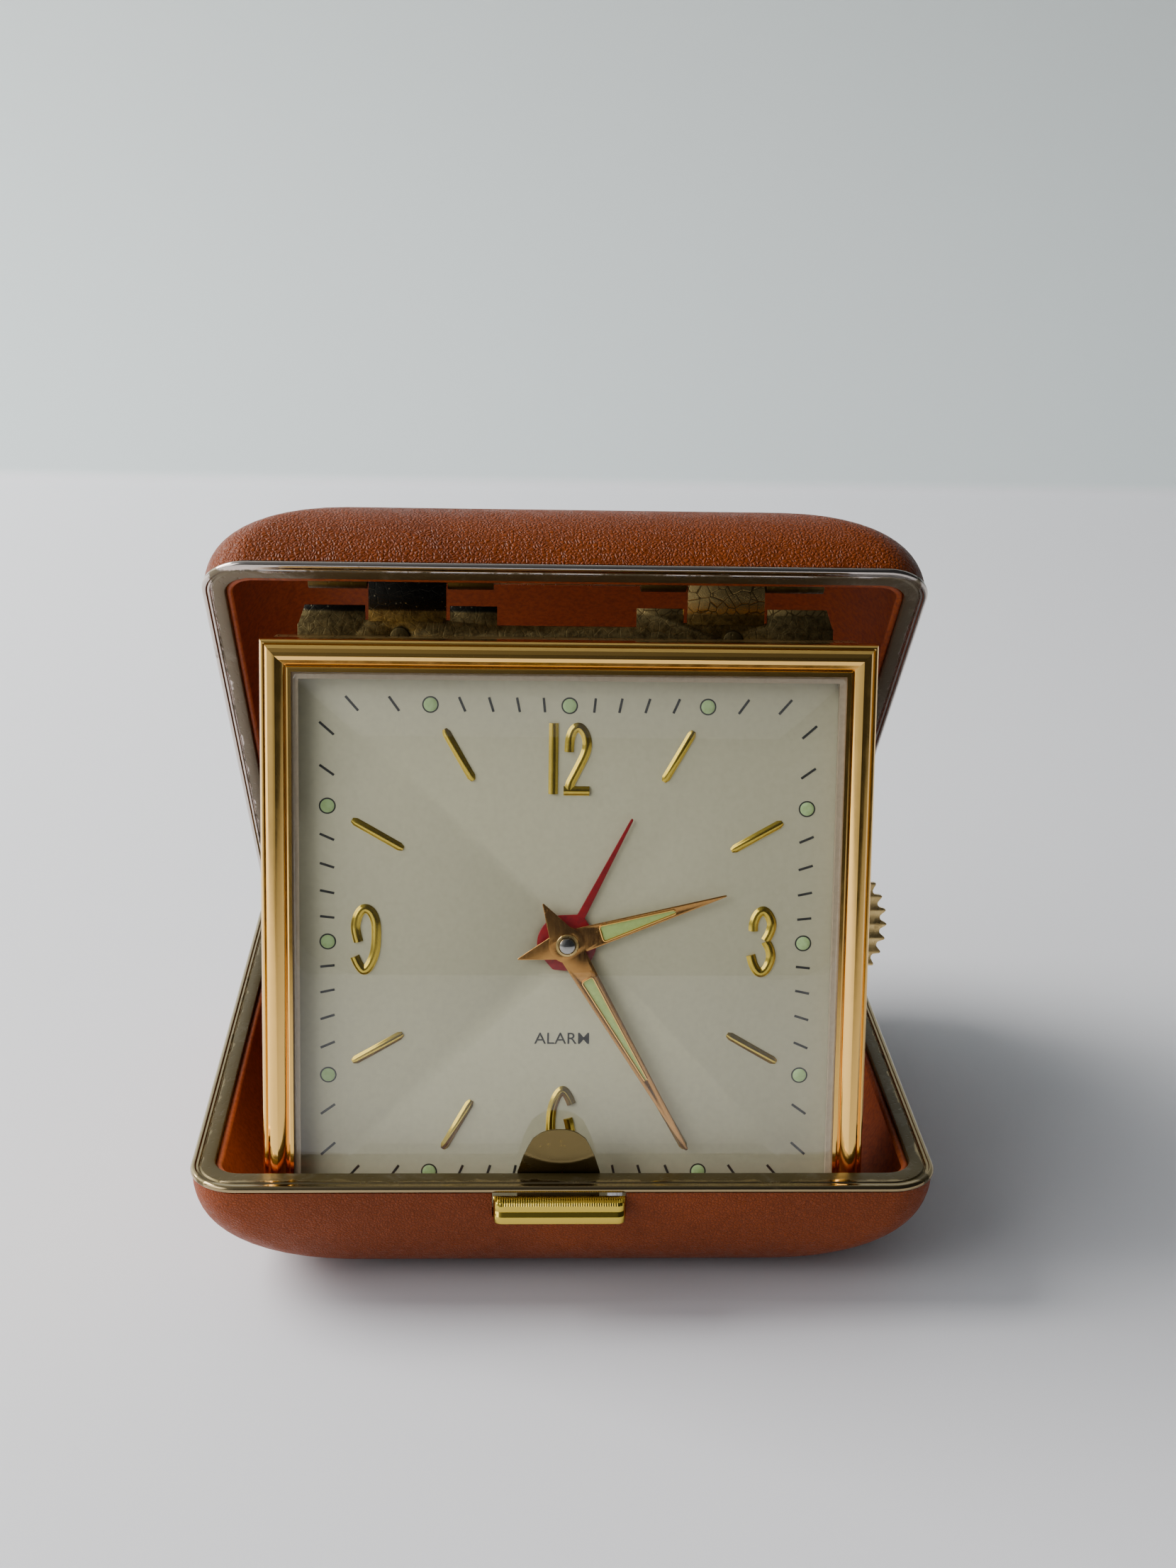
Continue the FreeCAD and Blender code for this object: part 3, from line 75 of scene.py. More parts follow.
shut_lid = Matrix.Translation((0, -HINGE_Y, 0)) @ Matrix.Rotation(math.pi, 4, "Y")
hinge_point = Matrix.Translation((0, HINGE_Y, RIM_Z)) @ Matrix.Rotation(LID_ANGLE, 4, "X")
ON_BASE = placed(Matrix.Translation((0, 0, RIM_Z)))
ON_LID_TRAY = placed(hinge_point, shut_lid)
ON_HEAD = placed(Matrix.Translation(DIAL_CENTRE), Matrix.Rotation(HEAD_ANGLE, 4, "X"))
print("dial centre at", [round(c * 1000, 1) for c in ON_HEAD.translation])


def on_head(x=0.0, y=0.0, turn=0.0):
    """A place on the head for a piece drawn about its own axis, turned clockwise."""
    return ON_HEAD @ Matrix.Translation((x, y, 0)) @ Matrix.Rotation(-math.radians(turn), 4, "Z")


# %% [markdown]
# ## From arrays to meshes
#
# Every piece is made of grids.  A grid is an array of points with rows and columns, and its
# faces join each point to its neighbours.  Rows and columns may run round in a circle.  An
# open end is closed with one many-sided face.  Joined grids go into one mesh, whose double
# points are merged and whose faces are then turned outwards.

# %% Helpers that make a mesh from grids
MERGE = 2e-6
SHOWN = {}


def grid(points, wrap_rows=False, wrap_columns=True, caps=()):
    """Quads between the neighbours of a rows x columns grid; caps names rows to be filled."""
    rows, columns = points.shape[:2]
    r = np.arange(rows if wrap_rows else rows - 1)[:, None]
    c = np.arange(columns if wrap_columns else columns - 1)[None, :]
    below, right = (r + 1) % rows, (c + 1) % columns
    corners = [r * columns + c, r * columns + right, below * columns + right, below * columns + c]
    quads = np.stack(corners, axis=-1).reshape(-1, 4)
    faces = [quads] + [(np.arange(columns) + (rows + cap) % rows * columns)[None] for cap in caps]
    return points.reshape(-1, 3), faces


def add_mesh(name, points, faces, place):
    """A linked object whose mesh holds the points, carried into place."""
    mesh = bpy.data.meshes.new(name)
    mesh.from_pydata(points.tolist(), [], faces)
    mesh.transform(place)
    thing = bpy.data.objects.new(name, mesh)
    bpy.context.scene.collection.objects.link(thing)
    return thing


def tidy_mesh(mesh, outward=True):
    """Merge double points and, on a closed piece, turn every face outwards."""
    work = bmesh.new()
    work.from_mesh(mesh)
    bmesh.ops.remove_doubles(work, verts=work.verts, dist=MERGE)
    bmesh.ops.dissolve_degenerate(work, edges=work.edges, dist=MERGE / 4)
    if outward:
        bmesh.ops.recalc_face_normals(work, faces=work.faces)
    work.to_mesh(mesh)
    work.free()


def shade(mesh, crease=35.0):
    """Smooth shading with hard edges where faces meet at more than the crease angle."""
    mesh.polygons.foreach_set("use_smooth", np.ones(len(mesh.polygons), bool))
    mesh.set_sharp_from_angle(angle=math.radians(crease))


def settle(thing):
    """Apply the modifiers, so that the mesh is the finished shape."""
    graph = bpy.context.evaluated_depsgraph_get()
    final = bpy.data.meshes.new_from_object(thing.evaluated_get(graph), depsgraph=graph)
    thing.modifiers.clear()
    thing.data = final


def finish_piece(thing, body, material, replaces=(), crease=35.0):
    """Shade, paint and attach a piece, and hide the frame parts that it stands for."""
    shade(thing.data, crease)
    thing.data.materials.clear()
    thing.data.materials.append(material)
    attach(thing, body)
    if replaces:
        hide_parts(*replaces)
    SHOWN[thing.name] = len(thing.data.polygons)
    return thing


def make_piece(name, body, chunks, place, material, replaces=(), crease=35.0):
    """One piece from (points, faces) chunks drawn flat in millimetres."""
    points = np.concatenate([chunk[0] for chunk in chunks])
    starts = np.cumsum([0] + [len(chunk[0]) for chunk in chunks])
    faces = [row for start, chunk in zip(starts, chunks)
             for array in chunk[1] for row in (array + start).tolist()]
    thing = add_mesh(name, points, faces, place)
    tidy_mesh(thing.data)
    return finish_piece(thing, body, material, replaces, crease)


def spread(plan, heights):
    """Points of a plan curve (N, 2) with a height for each, as an (N, 3) array."""
    return np.concatenate([plan, np.broadcast_to(heights, plan.shape[:-1])[..., None]], axis=-1)


# %% [markdown]
# ## Curves that the pieces follow
#
# The case, its rim and its lining are all rounded rectangles, and the clock is full of small
# bars that follow a line.  The helpers here give a rounded rectangle, a smooth line through a
# few points, and a section carried along a line.

# %% Plan curves and sweeps
SLOT_HALF = 7.1
LATCH_X = -0.7
CORNER_STEPS = 14
OUTER_STEPS = np.linspace(1, 0, 10)
MIDDLE_STEPS = np.linspace(-1, 1, 9)[1:-1]
SLOT_CELLS = range(9, 17)


def side_line(low, high, shift=0.0):
    """Positions along a straight side, with two of them at the edges of the latch's slot."""
    left, right = shift - SLOT_HALF, shift + SLOT_HALF
    parts = [left + (low - left) * OUTER_STEPS, shift + SLOT_HALF * MIDDLE_STEPS + 0 * low,
             right + (high - right) * OUTER_STEPS[::-1]]
    return np.concatenate(parts, axis=-1)


def rounded_rectangle(half_x, front, back, radius):
    """Rounded rectangles, one for each row of sizes, from the front left corner anticlockwise.

    A straight side has fixed steps, and a corner is a quarter circle of equal angles.
    """
    sizes = [np.asarray(size, float).reshape(-1, 1) for size in (half_x, front, back, radius)]
    half_x, front, back, radius = np.broadcast_arrays(*sizes)
    angles = np.radians(np.linspace(0, 90, CORNER_STEPS + 1)[1:-1])
    reach = half_x - radius
    front_line = side_line(-reach, reach, LATCH_X)
    side = side_line(radius - front, back - radius)
    back_line = side_line(-reach, reach)

    def corner(sign_x, y, start):
        return (sign_x * reach + radius * np.cos(angles + start), y + radius * np.sin(angles + start))

    right_front = corner(1, radius - front, -math.pi / 2)
    right_back = corner(1, back - radius, 0)
    left_back = corner(-1, back - radius, math.pi / 2)
    left_front = corner(-1, radius - front, math.pi)
    ones = np.ones_like(side)
    x = [front_line, right_front[0], half_x * ones, right_back[0], back_line[:, ::-1], left_back[0],
         -half_x * ones, left_front[0]]
    y = [-front * ones, right_front[1], side, right_back[1], back * ones, left_back[1],
         side[:, ::-1], left_front[1]]
    return np.stack([np.concatenate(x, axis=1), np.concatenate(y, axis=1)], axis=-1)


def smooth_path(points, steps=8):
    """A line through the points: each stretch is the cubic of Catmull and Rom."""
    p = np.asarray(points, float)
    p = np.vstack([2 * p[:1] - p[1:2], p, 2 * p[-1:] - p[-2:-1]])
    t = (np.arange(steps) / steps)[None, :, None]
    a, b, c, d = (p[i:len(p) - 3 + i][:, None, :] for i in range(4))
    curve = 0.5 * (2 * b + (c - a) * t + (2 * a - 5 * b + 4 * c - d) * t**2
                   + (3 * b - a - 3 * c + d) * t**3)
    return np.vstack([curve.reshape(-1, p.shape[1]), p[-2:-1]])


def outward_normals(path, closed):
    """At each point, the mitre of the two neighbouring stretches' right-hand normals."""
    step = np.roll(path, -1, axis=0) - path
    if not closed:
        step[-1] = step[-2]
    step /= np.linalg.norm(step, axis=1, keepdims=True)
    ahead = np.stack([step[:, 1], -step[:, 0]], axis=1)
    behind = np.roll(ahead, 1, axis=0)
    if not closed:
        behind[0] = ahead[0]
    lean = 1 + (ahead * behind).sum(axis=1, keepdims=True)
    return (ahead + behind) / np.maximum(lean, 0.3)


def swept(path, section, closed=False, scale=None):
    """A section of (outward, height) pairs carried along a plan path.

    Point (i, j) is path i plus its normal times outward j, at height j.  The section runs
    round, and on an open path both ends are closed with a face.
    """
    path, section = np.asarray(path, float), np.asarray(section, float)
    size = np.ones(len(path)) if scale is None else np.asarray(scale, float)
    normals = outward_normals(path, closed)
    plan = path[:, None] + normals[:, None] * section[None, :, :1] * size[:, None, None]
    heights = np.broadcast_to(section[:, 1], plan.shape[:2]) * size[:, None]
    return grid(spread(plan, heights), wrap_rows=closed, caps=() if closed else (0, -1))


def lathe(profile, steps=64):
    """A profile of (radius, height) pairs turned about the Z axis."""
    turn = np.linspace(0, 2 * math.pi, steps, endpoint=False)
    r, z = np.asarray(profile, float).T
    points = [r[:, None] * np.cos(turn), r[:, None] * np.sin(turn), z[:, None] + 0 * turn]
    return grid(np.stack(points, axis=-1))


def shifted(chunk, x=0.0, y=0.0, z=0.0):
    """A chunk moved by a distance in its flat drawing."""
    return chunk[0] + np.array([x, y, z]), chunk[1]


def circle_path(radius, steps=48, x=0.0, y=0.0):
    """Points of a circle, anticlockwise."""
    turn = np.linspace(0, 2 * math.pi, steps, endpoint=False)
    return np.stack([x + radius * np.cos(turn), y + radius * np.sin(turn)], axis=1)


def eased(corners, radius, steps=5):
    """A closed outline with each corner replaced by a parabola that starts a radius away."""
    c = np.asarray(corners, float)
    back, ahead = np.roll(c, 1, axis=0) - c, np.roll(c, -1, axis=0) - c
    radius = np.asarray(radius, float).reshape(-1, 1) * np.ones((len(c), 1))
    start = c + back / np.linalg.norm(back, axis=1, keepdims=True) * radius
    end = c + ahead / np.linalg.norm(ahead, axis=1, keepdims=True) * radius
    t = np.linspace(0, 1, steps)[None, :, None]
    curve = (1 - t) ** 2 * start[:, None] + 2 * t * (1 - t) * c[:, None] + t**2 * end[:, None]
    return curve.reshape(-1, 2)


print("a rounded rectangle has", rounded_rectangle(40, 39.6, 39.6, 5.3).shape[1], "points")


# %% Flat stamped pieces
def stamped(name, loops, low, high, bevel, place):
    """A flat piece with holes: a filled plan curve, thickened, its edges rounded by bevel."""
    curve = bpy.data.curves.new(name, "CURVE")
    curve.dimensions = "2D"
    curve.fill_mode = "BOTH"
    curve.extrude = (high - low) / 2 - bevel
    curve.bevel_depth = bevel
    curve.bevel_resolution = 2
    curve.offset = -bevel
    for loop in loops:
        spline = curve.splines.new("POLY")
        spline.points.add(len(loop) - 1)
        spline.points.foreach_set("co", np.c_[loop, np.zeros(len(loop)), np.ones(len(loop))].ravel())
        spline.use_cyclic_u = True
    holder = bpy.data.objects.new(name + "_outline", curve)
    bpy.context.scene.collection.objects.link(holder)
    graph = bpy.context.evaluated_depsgraph_get()
    mesh = bpy.data.meshes.new_from_object(holder.evaluated_get(graph), depsgraph=graph)
    bpy.data.objects.remove(holder)
    mesh.transform(place @ Matrix.Translation((0, 0, (low + high) / 2)))
    tidy_mesh(mesh)
    thing = bpy.data.objects.new(name, mesh)
    bpy.context.scene.collection.objects.link(thing)
    return thing


def softened(node, width, material, body, crease=30.0, steps=2):
    """A copy of a frame part with its double points merged and its edges bevelled."""
    thing = bpy.data.objects.new(node + "_dressed", nodes[node].data.copy())
    bpy.context.scene.collection.objects.link(thing)
    work = bmesh.new()
    work.from_mesh(thing.data)
    bmesh.ops.remove_doubles(work, verts=work.verts, dist=MERGE)
    bmesh.ops.dissolve_limit(work, angle_limit=math.radians(1.0), verts=work.verts, edges=work.edges)
    work.to_mesh(thing.data)
    work.free()
    if thing.data.has_custom_normals:
        thing.data.attributes.remove(thing.data.attributes["custom_normal"])
    edge = thing.modifiers.new("edges", "BEVEL")
    edge.width = width * MM
    edge.segments = steps
    edge.limit_method = "ANGLE"
    edge.angle_limit = math.radians(40)
    settle(thing)
    return finish_piece(thing, body, material, (node,), crease)


# %% [markdown]
# ## Shader groups
#
# Several finishes share the same effects: fine grain, patches of wear, and fine lines left
# by a brush or a polishing wheel.  Each effect is a node group with named sockets, built once
# and placed in each material with its own numbers.

# %% A small kit for node trees
class Tree:
    """Shorthand for adding nodes to a node tree and joining them."""

    def __init__(self, tree):
        self.tree = tree

    def node(self, kind, label=None, **settings):
        made = self.tree.nodes.new(kind)
        made.label = label or ""
        for key, value in settings.items():
            setattr(made, key, value)
        return made

    def link(self, source, target):
        self.tree.links.new(source, target)

    def feed(self, socket, value):
        """Join a socket to a source, or set it to a plain value."""
        if isinstance(value, bpy.types.NodeSocket):
            self.link(value, socket)
        else:
            socket.default_value = value

    def math(self, operation, a, b=0.0, c=None, clamp=False):
        made = self.node("ShaderNodeMath", operation=operation, use_clamp=clamp)
        self.feed(made.inputs[0], a)
        self.feed(made.inputs[1], b)
        if c is not None:
            self.feed(made.inputs[2], c)
        return made.outputs[0]

    def remap(self, value, low, high, to_low=0.0, to_high=1.0):
        made = self.node("ShaderNodeMapRange", interpolation_type="SMOOTHSTEP")
        for socket, number in zip(made.inputs, (value, low, high, to_low, to_high)):
            self.feed(socket, number)
        return made.outputs[0]

    def mix(self, factor, a, b, blend="MIX"):
        made = self.node("ShaderNodeMix", data_type="RGBA", blend_type=blend)
        self.feed(made.inputs[0], factor)
        self.feed(made.inputs[6], a)
        self.feed(made.inputs[7], b)
        return made.outputs[2]

    def noise(self, vector, scale, detail=3.0, rough=0.55, distortion=0.0):
        made = self.node("ShaderNodeTexNoise")
        self.feed(made.inputs["Vector"], vector)
        made.inputs["Scale"].default_value = scale
        made.inputs["Detail"].default_value = detail
        made.inputs["Roughness"].default_value = rough
        made.inputs["Distortion"].default_value = distortion
        return made.outputs[0]

    def cells(self, vector, scale, feature="F1", random=1.0):
        made = self.node("ShaderNodeTexVoronoi", feature=feature)
        self.feed(made.inputs["Vector"], vector)
        made.inputs["Scale"].default_value = scale
        made.inputs["Randomness"].default_value = random
        return made.outputs[0]

    def bump(self, height, strength, distance, normal=None):
        made = self.node("ShaderNodeBump")
        made.inputs["Strength"].default_value = strength
        made.inputs["Distance"].default_value = distance
        self.feed(made.inputs["Height"], height)
        if normal is not None:
            self.link(normal, made.inputs["Normal"])
        return made.outputs[0]

    def place(self):
        return self.node("ShaderNodeTexCoord").outputs["Object"]


def new_group(name, inputs, outputs):
    """An empty shader group with float inputs (name, value) and outputs (name, socket type)."""
    group = bpy.data.node_groups.new(name, "ShaderNodeTree")
    group.interface.new_socket("Vector", in_out="INPUT", socket_type="NodeSocketVector")
    for label, value in inputs:
        socket = group.interface.new_socket(label, in_out="INPUT", socket_type="NodeSocketFloat")
        socket.default_value = value
    for label, kind in outputs:
        group.interface.new_socket(label, in_out="OUTPUT", socket_type=kind)
    tree = Tree(group)
    return group, tree, tree.node("NodeGroupInput").outputs, tree.node("NodeGroupOutput").inputs


FLOAT = "NodeSocketFloat"

# %% Worn patches: soft blotches with ragged edges and small pits
worn, tree, given, wanted = new_group(
    "worn patches", [("Coverage", 0.5)], [("Patches", FLOAT), ("Pits", FLOAT)])
blotches = tree.noise(given["Vector"], 160.0, 5.0, 0.65, 0.4)
fine = tree.noise(given["Vector"], 900.0, 4.0, 0.7)
ragged = tree.math("ADD", blotches, tree.math("MULTIPLY", fine, 0.35))
edge = tree.math("SUBTRACT", 1.02, given["Coverage"])
edge_low, edge_high = tree.math("SUBTRACT", edge, 0.06), tree.math("ADD", edge, 0.08)
tree.link(tree.remap(ragged, edge_low, edge_high), wanted["Patches"])
specks = tree.cells(given["Vector"], 1500.0)
tree.link(tree.remap(specks, 0.28, 0.12), wanted["Pits"])
print("group:", worn.name)

# %% Fine lines: streaks along one axis of the vector
lines, tree, given, wanted = new_group("fine lines", [("Stretch", 30.0)], [("Lines", FLOAT)])
parts = tree.node("ShaderNodeSeparateXYZ")
tree.link(given["Vector"], parts.inputs[0])
joined = tree.node("ShaderNodeCombineXYZ")
tree.link(tree.math("MULTIPLY", parts.outputs[0], given["Stretch"]), joined.inputs[0])
tree.link(parts.outputs[1], joined.inputs[1])
tree.link(parts.outputs[2], joined.inputs[2])
coarse = tree.noise(joined.outputs[0], 120.0, 4.0, 0.7)
sharp = tree.noise(joined.outputs[0], 500.0, 2.0, 0.6)
tree.link(tree.math("MULTIPLY_ADD", coarse, 0.5, tree.math("MULTIPLY", sharp, 0.5)), wanted["Lines"])
print("group:", lines.name)

# %% Leather grain: small cushions between creases, with pores
grain, tree, given, wanted = new_group(
    "leather grain", [("Size", 1.0)], [("Height", FLOAT), ("Creases", FLOAT)])
sized = tree.node("ShaderNodeVectorMath", operation="SCALE")
tree.link(given["Vector"], sized.inputs[0])
tree.link(given["Size"], sized.inputs["Scale"])
bent = tree.node("ShaderNodeVectorMath", operation="ADD")
warp = tree.node("ShaderNodeTexNoise")
tree.link(sized.outputs[0], warp.inputs["Vector"])
warp.inputs["Scale"].default_value = 900.0
small_warp = tree.node("ShaderNodeVectorMath", operation="SCALE")
tree.link(warp.outputs["Color"], small_warp.inputs[0])
small_warp.inputs["Scale"].default_value = 0.0006
tree.link(sized.outputs[0], bent.inputs[0])
tree.link(small_warp.outputs[0], bent.inputs[1])
pebbles = tree.cells(bent.outputs[0], 2300.0, "DISTANCE_TO_EDGE")
cushions = tree.remap(pebbles, 0.0, 0.32)
wrinkles = tree.noise(bent.outputs[0], 420.0, 4.0, 0.6, 0.8)
tree.link(tree.math("ADD", tree.math("MULTIPLY", cushions, 0.6), tree.math("MULTIPLY", wrinkles, 0.6)),
          wanted["Height"])
tree.link(tree.remap(pebbles, 0.10, 0.0), wanted["Creases"])
print("group:", grain.name)

# %% [markdown]
# ## Finishes
#
# The leather is a warm tan with a fine grain.  The rim's nickel has worn to an olive grey
# along its inner edge, and the gilding on the head is still bright.  Colours vary slowly with
# noise, and roughness varies with the same noise, so that wear also changes the highlights.

# %% Helpers for materials
def new_material(name, metallic, roughness):
    """A material, its tree kit, its main shader's inputs and its place vector."""
    made = bpy.data.materials.new(name)
    made.use_nodes = True
    tree = Tree(made.node_tree)
    sockets = made.node_tree.nodes["Principled BSDF"].inputs
    sockets["Metallic"].default_value = metallic
    sockets["Roughness"].default_value = roughness
    return made, tree, sockets, tree.place()


def use(tree, group, vector, **values):
    """A copy of a shader group in a tree, with its float sockets set; returns its outputs."""
    made = tree.node("ShaderNodeGroup", node_tree=group)
    tree.feed(made.inputs["Vector"], vector)
    for label, value in values.items():
        tree.feed(made.inputs[label], value)
    return made.outputs


def rgb(red, green, blue):
    return (red, green, blue, 1.0)


def plated(name, bright, dull, roughness, coverage=0.35, stretch=1.0, bump=0.04):
    """Metal with bright and dull areas, pits in the dull ones, and fine polishing lines."""
    made, tree, sockets, at = new_material(name, 1.0, roughness)
    wear = use(tree, worn, at, Coverage=coverage)
    streaks = use(tree, lines, at, Stretch=stretch)["Lines"]
    dulled = tree.math("MULTIPLY", wear["Patches"], 0.8)
    tree.link(tree.mix(dulled, rgb(*bright), rgb(*dull)), sockets["Base Color"])
    tree.link(tree.math("ADD", tree.remap(streaks, 0.3, 0.7, roughness * 0.7, roughness * 1.25),
                        tree.math("MULTIPLY", dulled, 0.22)), sockets["Roughness"])
    relief = tree.math("SUBTRACT", streaks, tree.math("MULTIPLY", wear["Pits"], dulled))
    tree.link(tree.bump(relief, bump, 0.0001), sockets["Normal"])
    return made


def hide(name, light, dark, size, roughness, relief):
    """Leather: cushions between creases, darker creases, and slow changes of tone."""
    made, tree, sockets, at = new_material(name, 0.0, roughness)
    pattern = use(tree, grain, at, Size=size)
    slow = tree.noise(at, 45.0, 4.0, 0.6, 0.6)
    tone = tree.mix(tree.remap(slow, 0.32, 0.68), rgb(*dark), rgb(*light))
    small = tree.remap(tree.noise(at, 700.0, 4.0, 0.7), 0.3, 0.75)
    tone = tree.mix(tree.math("MULTIPLY", small, 0.12), tone, rgb(*[c * 1.5 for c in light]))
    sockets["Specular IOR Level"].default_value = 0.16
    shadow = tree.math("MULTIPLY", pattern["Creases"], 0.55)
    tree.link(tree.mix(shadow, tone, rgb(*[c * 0.35 for c in dark])), sockets["Base Color"])
    tree.link(tree.remap(small, 0.0, 1.0, roughness * 1.15, roughness * 0.8), sockets["Roughness"])
    tree.link(tree.bump(pattern["Height"], relief, 0.00022), sockets["Normal"])
    return made


lid_hide = hide("tan leather, pebbled", (0.185, 0.033, 0.0005), (0.125, 0.021, 0.0004), 1.0, 0.4, 0.7)
base_hide = hide("tan leather, smoother", (0.255, 0.052, 0.011), (0.185, 0.038, 0.009), 1.25, 0.44, 0.5)
gold = plated("polished gilding", (0.97, 0.58, 0.15), (0.80, 0.42, 0.08), 0.12, 0.1, 1.0, 0.02)
hand_gold = plated("copper gold", (0.56, 0.29, 0.09), (0.36, 0.17, 0.05), 0.2, 0.2, 6.0, 0.03)
mark_gold = plated("olive gold", (0.62, 0.45, 0.07), (0.40, 0.27, 0.04), 0.16, 0.1, 1.0, 0.02)
tab_brass = plated("amber brass", (0.36, 0.24, 0.05), (0.12, 0.095, 0.05), 0.12, 0.5, 1.0, 0.03)
brass = plated("yellow brass", (0.72, 0.52, 0.22), (0.42, 0.28, 0.1), 0.28, 0.35, 3.0, 0.08)
olive = plated("olive brass", (0.19, 0.145, 0.06), (0.07, 0.052, 0.022), 0.32, 0.5, 10.0, 0.3)
case_metal = plated("satin brass", (0.66, 0.47, 0.2), (0.42, 0.28, 0.11), 0.33, 0.3, 20.0, 0.12)
steel = plated("bright steel", (0.6, 0.6, 0.6), (0.4, 0.39, 0.37), 0.24, 0.25, 12.0, 0.08)
chrome = plated("dark chrome", (0.42, 0.41, 0.4), (0.2, 0.19, 0.17), 0.12, 0.2, 1.0, 0.02)

curls, tree, sockets, at = new_material("hinge plate with curled tabs", 1.0, 0.2)
PIN_LINE = (0.0, -0.0081, 0.0727)
flattened = tree.node("ShaderNodeVectorMath", "drop the distance along the pin", operation="MULTIPLY")
tree.link(at, flattened.inputs[0])
flattened.inputs[1].default_value = (0, 1, 1)
reach = tree.node("ShaderNodeVectorMath", "distance from the pin's line", operation="DISTANCE")
tree.link(flattened.outputs[0], reach.inputs[0])
reach.inputs[1].default_value = PIN_LINE
on_curl = tree.remap(reach.outputs["Value"], 0.0036, 0.0032)
parts = tree.node("ShaderNodeSeparateXYZ")
tree.link(at, parts.inputs[0])
right_side = tree.remap(parts.outputs[0], -0.001, 0.001)
crackle = tree.remap(tree.cells(at, 900.0, "DISTANCE_TO_EDGE"), 0.0, 0.08)
specks = tree.remap(tree.cells(at, 1400.0), 0.16, 0.08)
left_tone = tree.mix(specks, rgb(0.035, 0.032, 0.026), rgb(0.3, 0.26, 0.16))
right_tone = tree.mix(crackle, rgb(0.2, 0.12, 0.04), rgb(0.75, 0.52, 0.2))
curl_tone = tree.mix(right_side, left_tone, right_tone)
grit = tree.remap(tree.noise(at, 1300.0, 5.0, 0.75), 0.3, 0.7)
plate_tone = tree.mix(grit, rgb(0.08, 0.058, 0.025), rgb(0.26, 0.2, 0.085))
tree.link(tree.mix(on_curl, plate_tone, curl_tone), sockets["Base Color"])
tree.link(tree.mix(on_curl, rgb(0.36, 0.36, 0.36), rgb(0.16, 0.16, 0.16)), sockets["Roughness"])
tree.link(tree.bump(tree.math("ADD", crackle, grit), 0.2, 0.00005), sockets["Normal"])
print(len(bpy.data.materials), "materials so far")

# %% Rim, dial, paint, cloth and glass
RIM_WEAR = "across"


def worn_nickel(name, bright, mossy, least, most, smears):
    """Nickel that wears through from the inner edge; the attribute is 0 outside and 1 inside."""
    made, tree, sockets, at = new_material(name, 1.0, 0.16)
    across = tree.node("ShaderNodeAttribute", attribute_name=RIM_WEAR).outputs["Fac"]
    wear = use(tree, worn, at, Coverage=tree.remap(across, 0.15, 1.0, least, most))
    smear = tree.remap(tree.noise(at, 230.0, 5.0, 0.75, 1.2), 0.52, 0.72)
    whitish = tree.math("MULTIPLY", tree.math("MULTIPLY", smear, across), smears)
    tone = tree.mix(wear["Patches"], rgb(*bright), rgb(*mossy))
    tree.link(tree.mix(whitish, tone, rgb(0.46, 0.43, 0.37)), sockets["Base Color"])
    rough = tree.math("ADD", tree.math("MULTIPLY", wear["Patches"], 0.26),
                      tree.math("MULTIPLY", whitish, 0.3))
    tree.link(tree.math("ADD", rough, 0.13), sockets["Roughness"])
    tree.link(tree.math("SUBTRACT", 1.0, tree.math("MULTIPLY", wear["Patches"], 0.35)), sockets["Metallic"])
    pits = tree.math("MULTIPLY", wear["Pits"], wear["Patches"])
    ripple = tree.noise(at, 60.0, 2.0)
    relief = tree.math("SUBTRACT", tree.math("MULTIPLY", ripple, 2.0), pits)
    tree.link(tree.bump(relief, 0.25, 0.00008), sockets["Normal"])
    return made


def painted(name, light, dark, roughness, speckle=0.2, coat=0.0):
    """Matt or glossy paint with a fine speckle."""
    made, tree, sockets, at = new_material(name, 0.0, roughness)
    fine = tree.remap(tree.noise(at, 1800.0, 3.0, 0.7), 0.35, 0.7)
    amount = tree.math("MULTIPLY", fine, speckle)
    tree.link(tree.mix(amount, rgb(*light), rgb(*dark)), sockets["Base Color"])
    tree.link(tree.bump(fine, 0.12, 0.00003), sockets["Normal"])
    sockets["Coat Weight"].default_value = coat
    return made


nickel = worn_nickel(
    "nickel, worn at the sides", (0.58, 0.51, 0.46), (0.15, 0.12, 0.075), 0.16, 0.86, 0.3)
mossy_nickel = worn_nickel(
    "nickel, worn to olive", (0.36, 0.27, 0.14), (0.09, 0.066, 0.022), 0.16, 0.85, 0.2)
black_print = painted("black print", (0.02, 0.02, 0.02), (0.05, 0.05, 0.045), 0.5)
lume_paint = painted("luminous green", (0.42, 0.60, 0.27), (0.30, 0.45, 0.16), 0.7, 0.6)
old_lume = painted("luminous green, aged", (0.46, 0.62, 0.20), (0.34, 0.46, 0.13), 0.7, 0.5)
red_lacquer = painted("red lacquer", (0.30, 0.003, 0.008), (0.12, 0.002, 0.005), 0.32, 0.5, 0.3)
grey_beige = painted("grey beige paint", (0.34, 0.27, 0.18), (0.22, 0.17, 0.11), 0.55, 0.4)
lining_cloth = painted("brown lining", (0.36, 0.07, 0.012), (0.16, 0.026, 0.005), 0.6, 0.7)

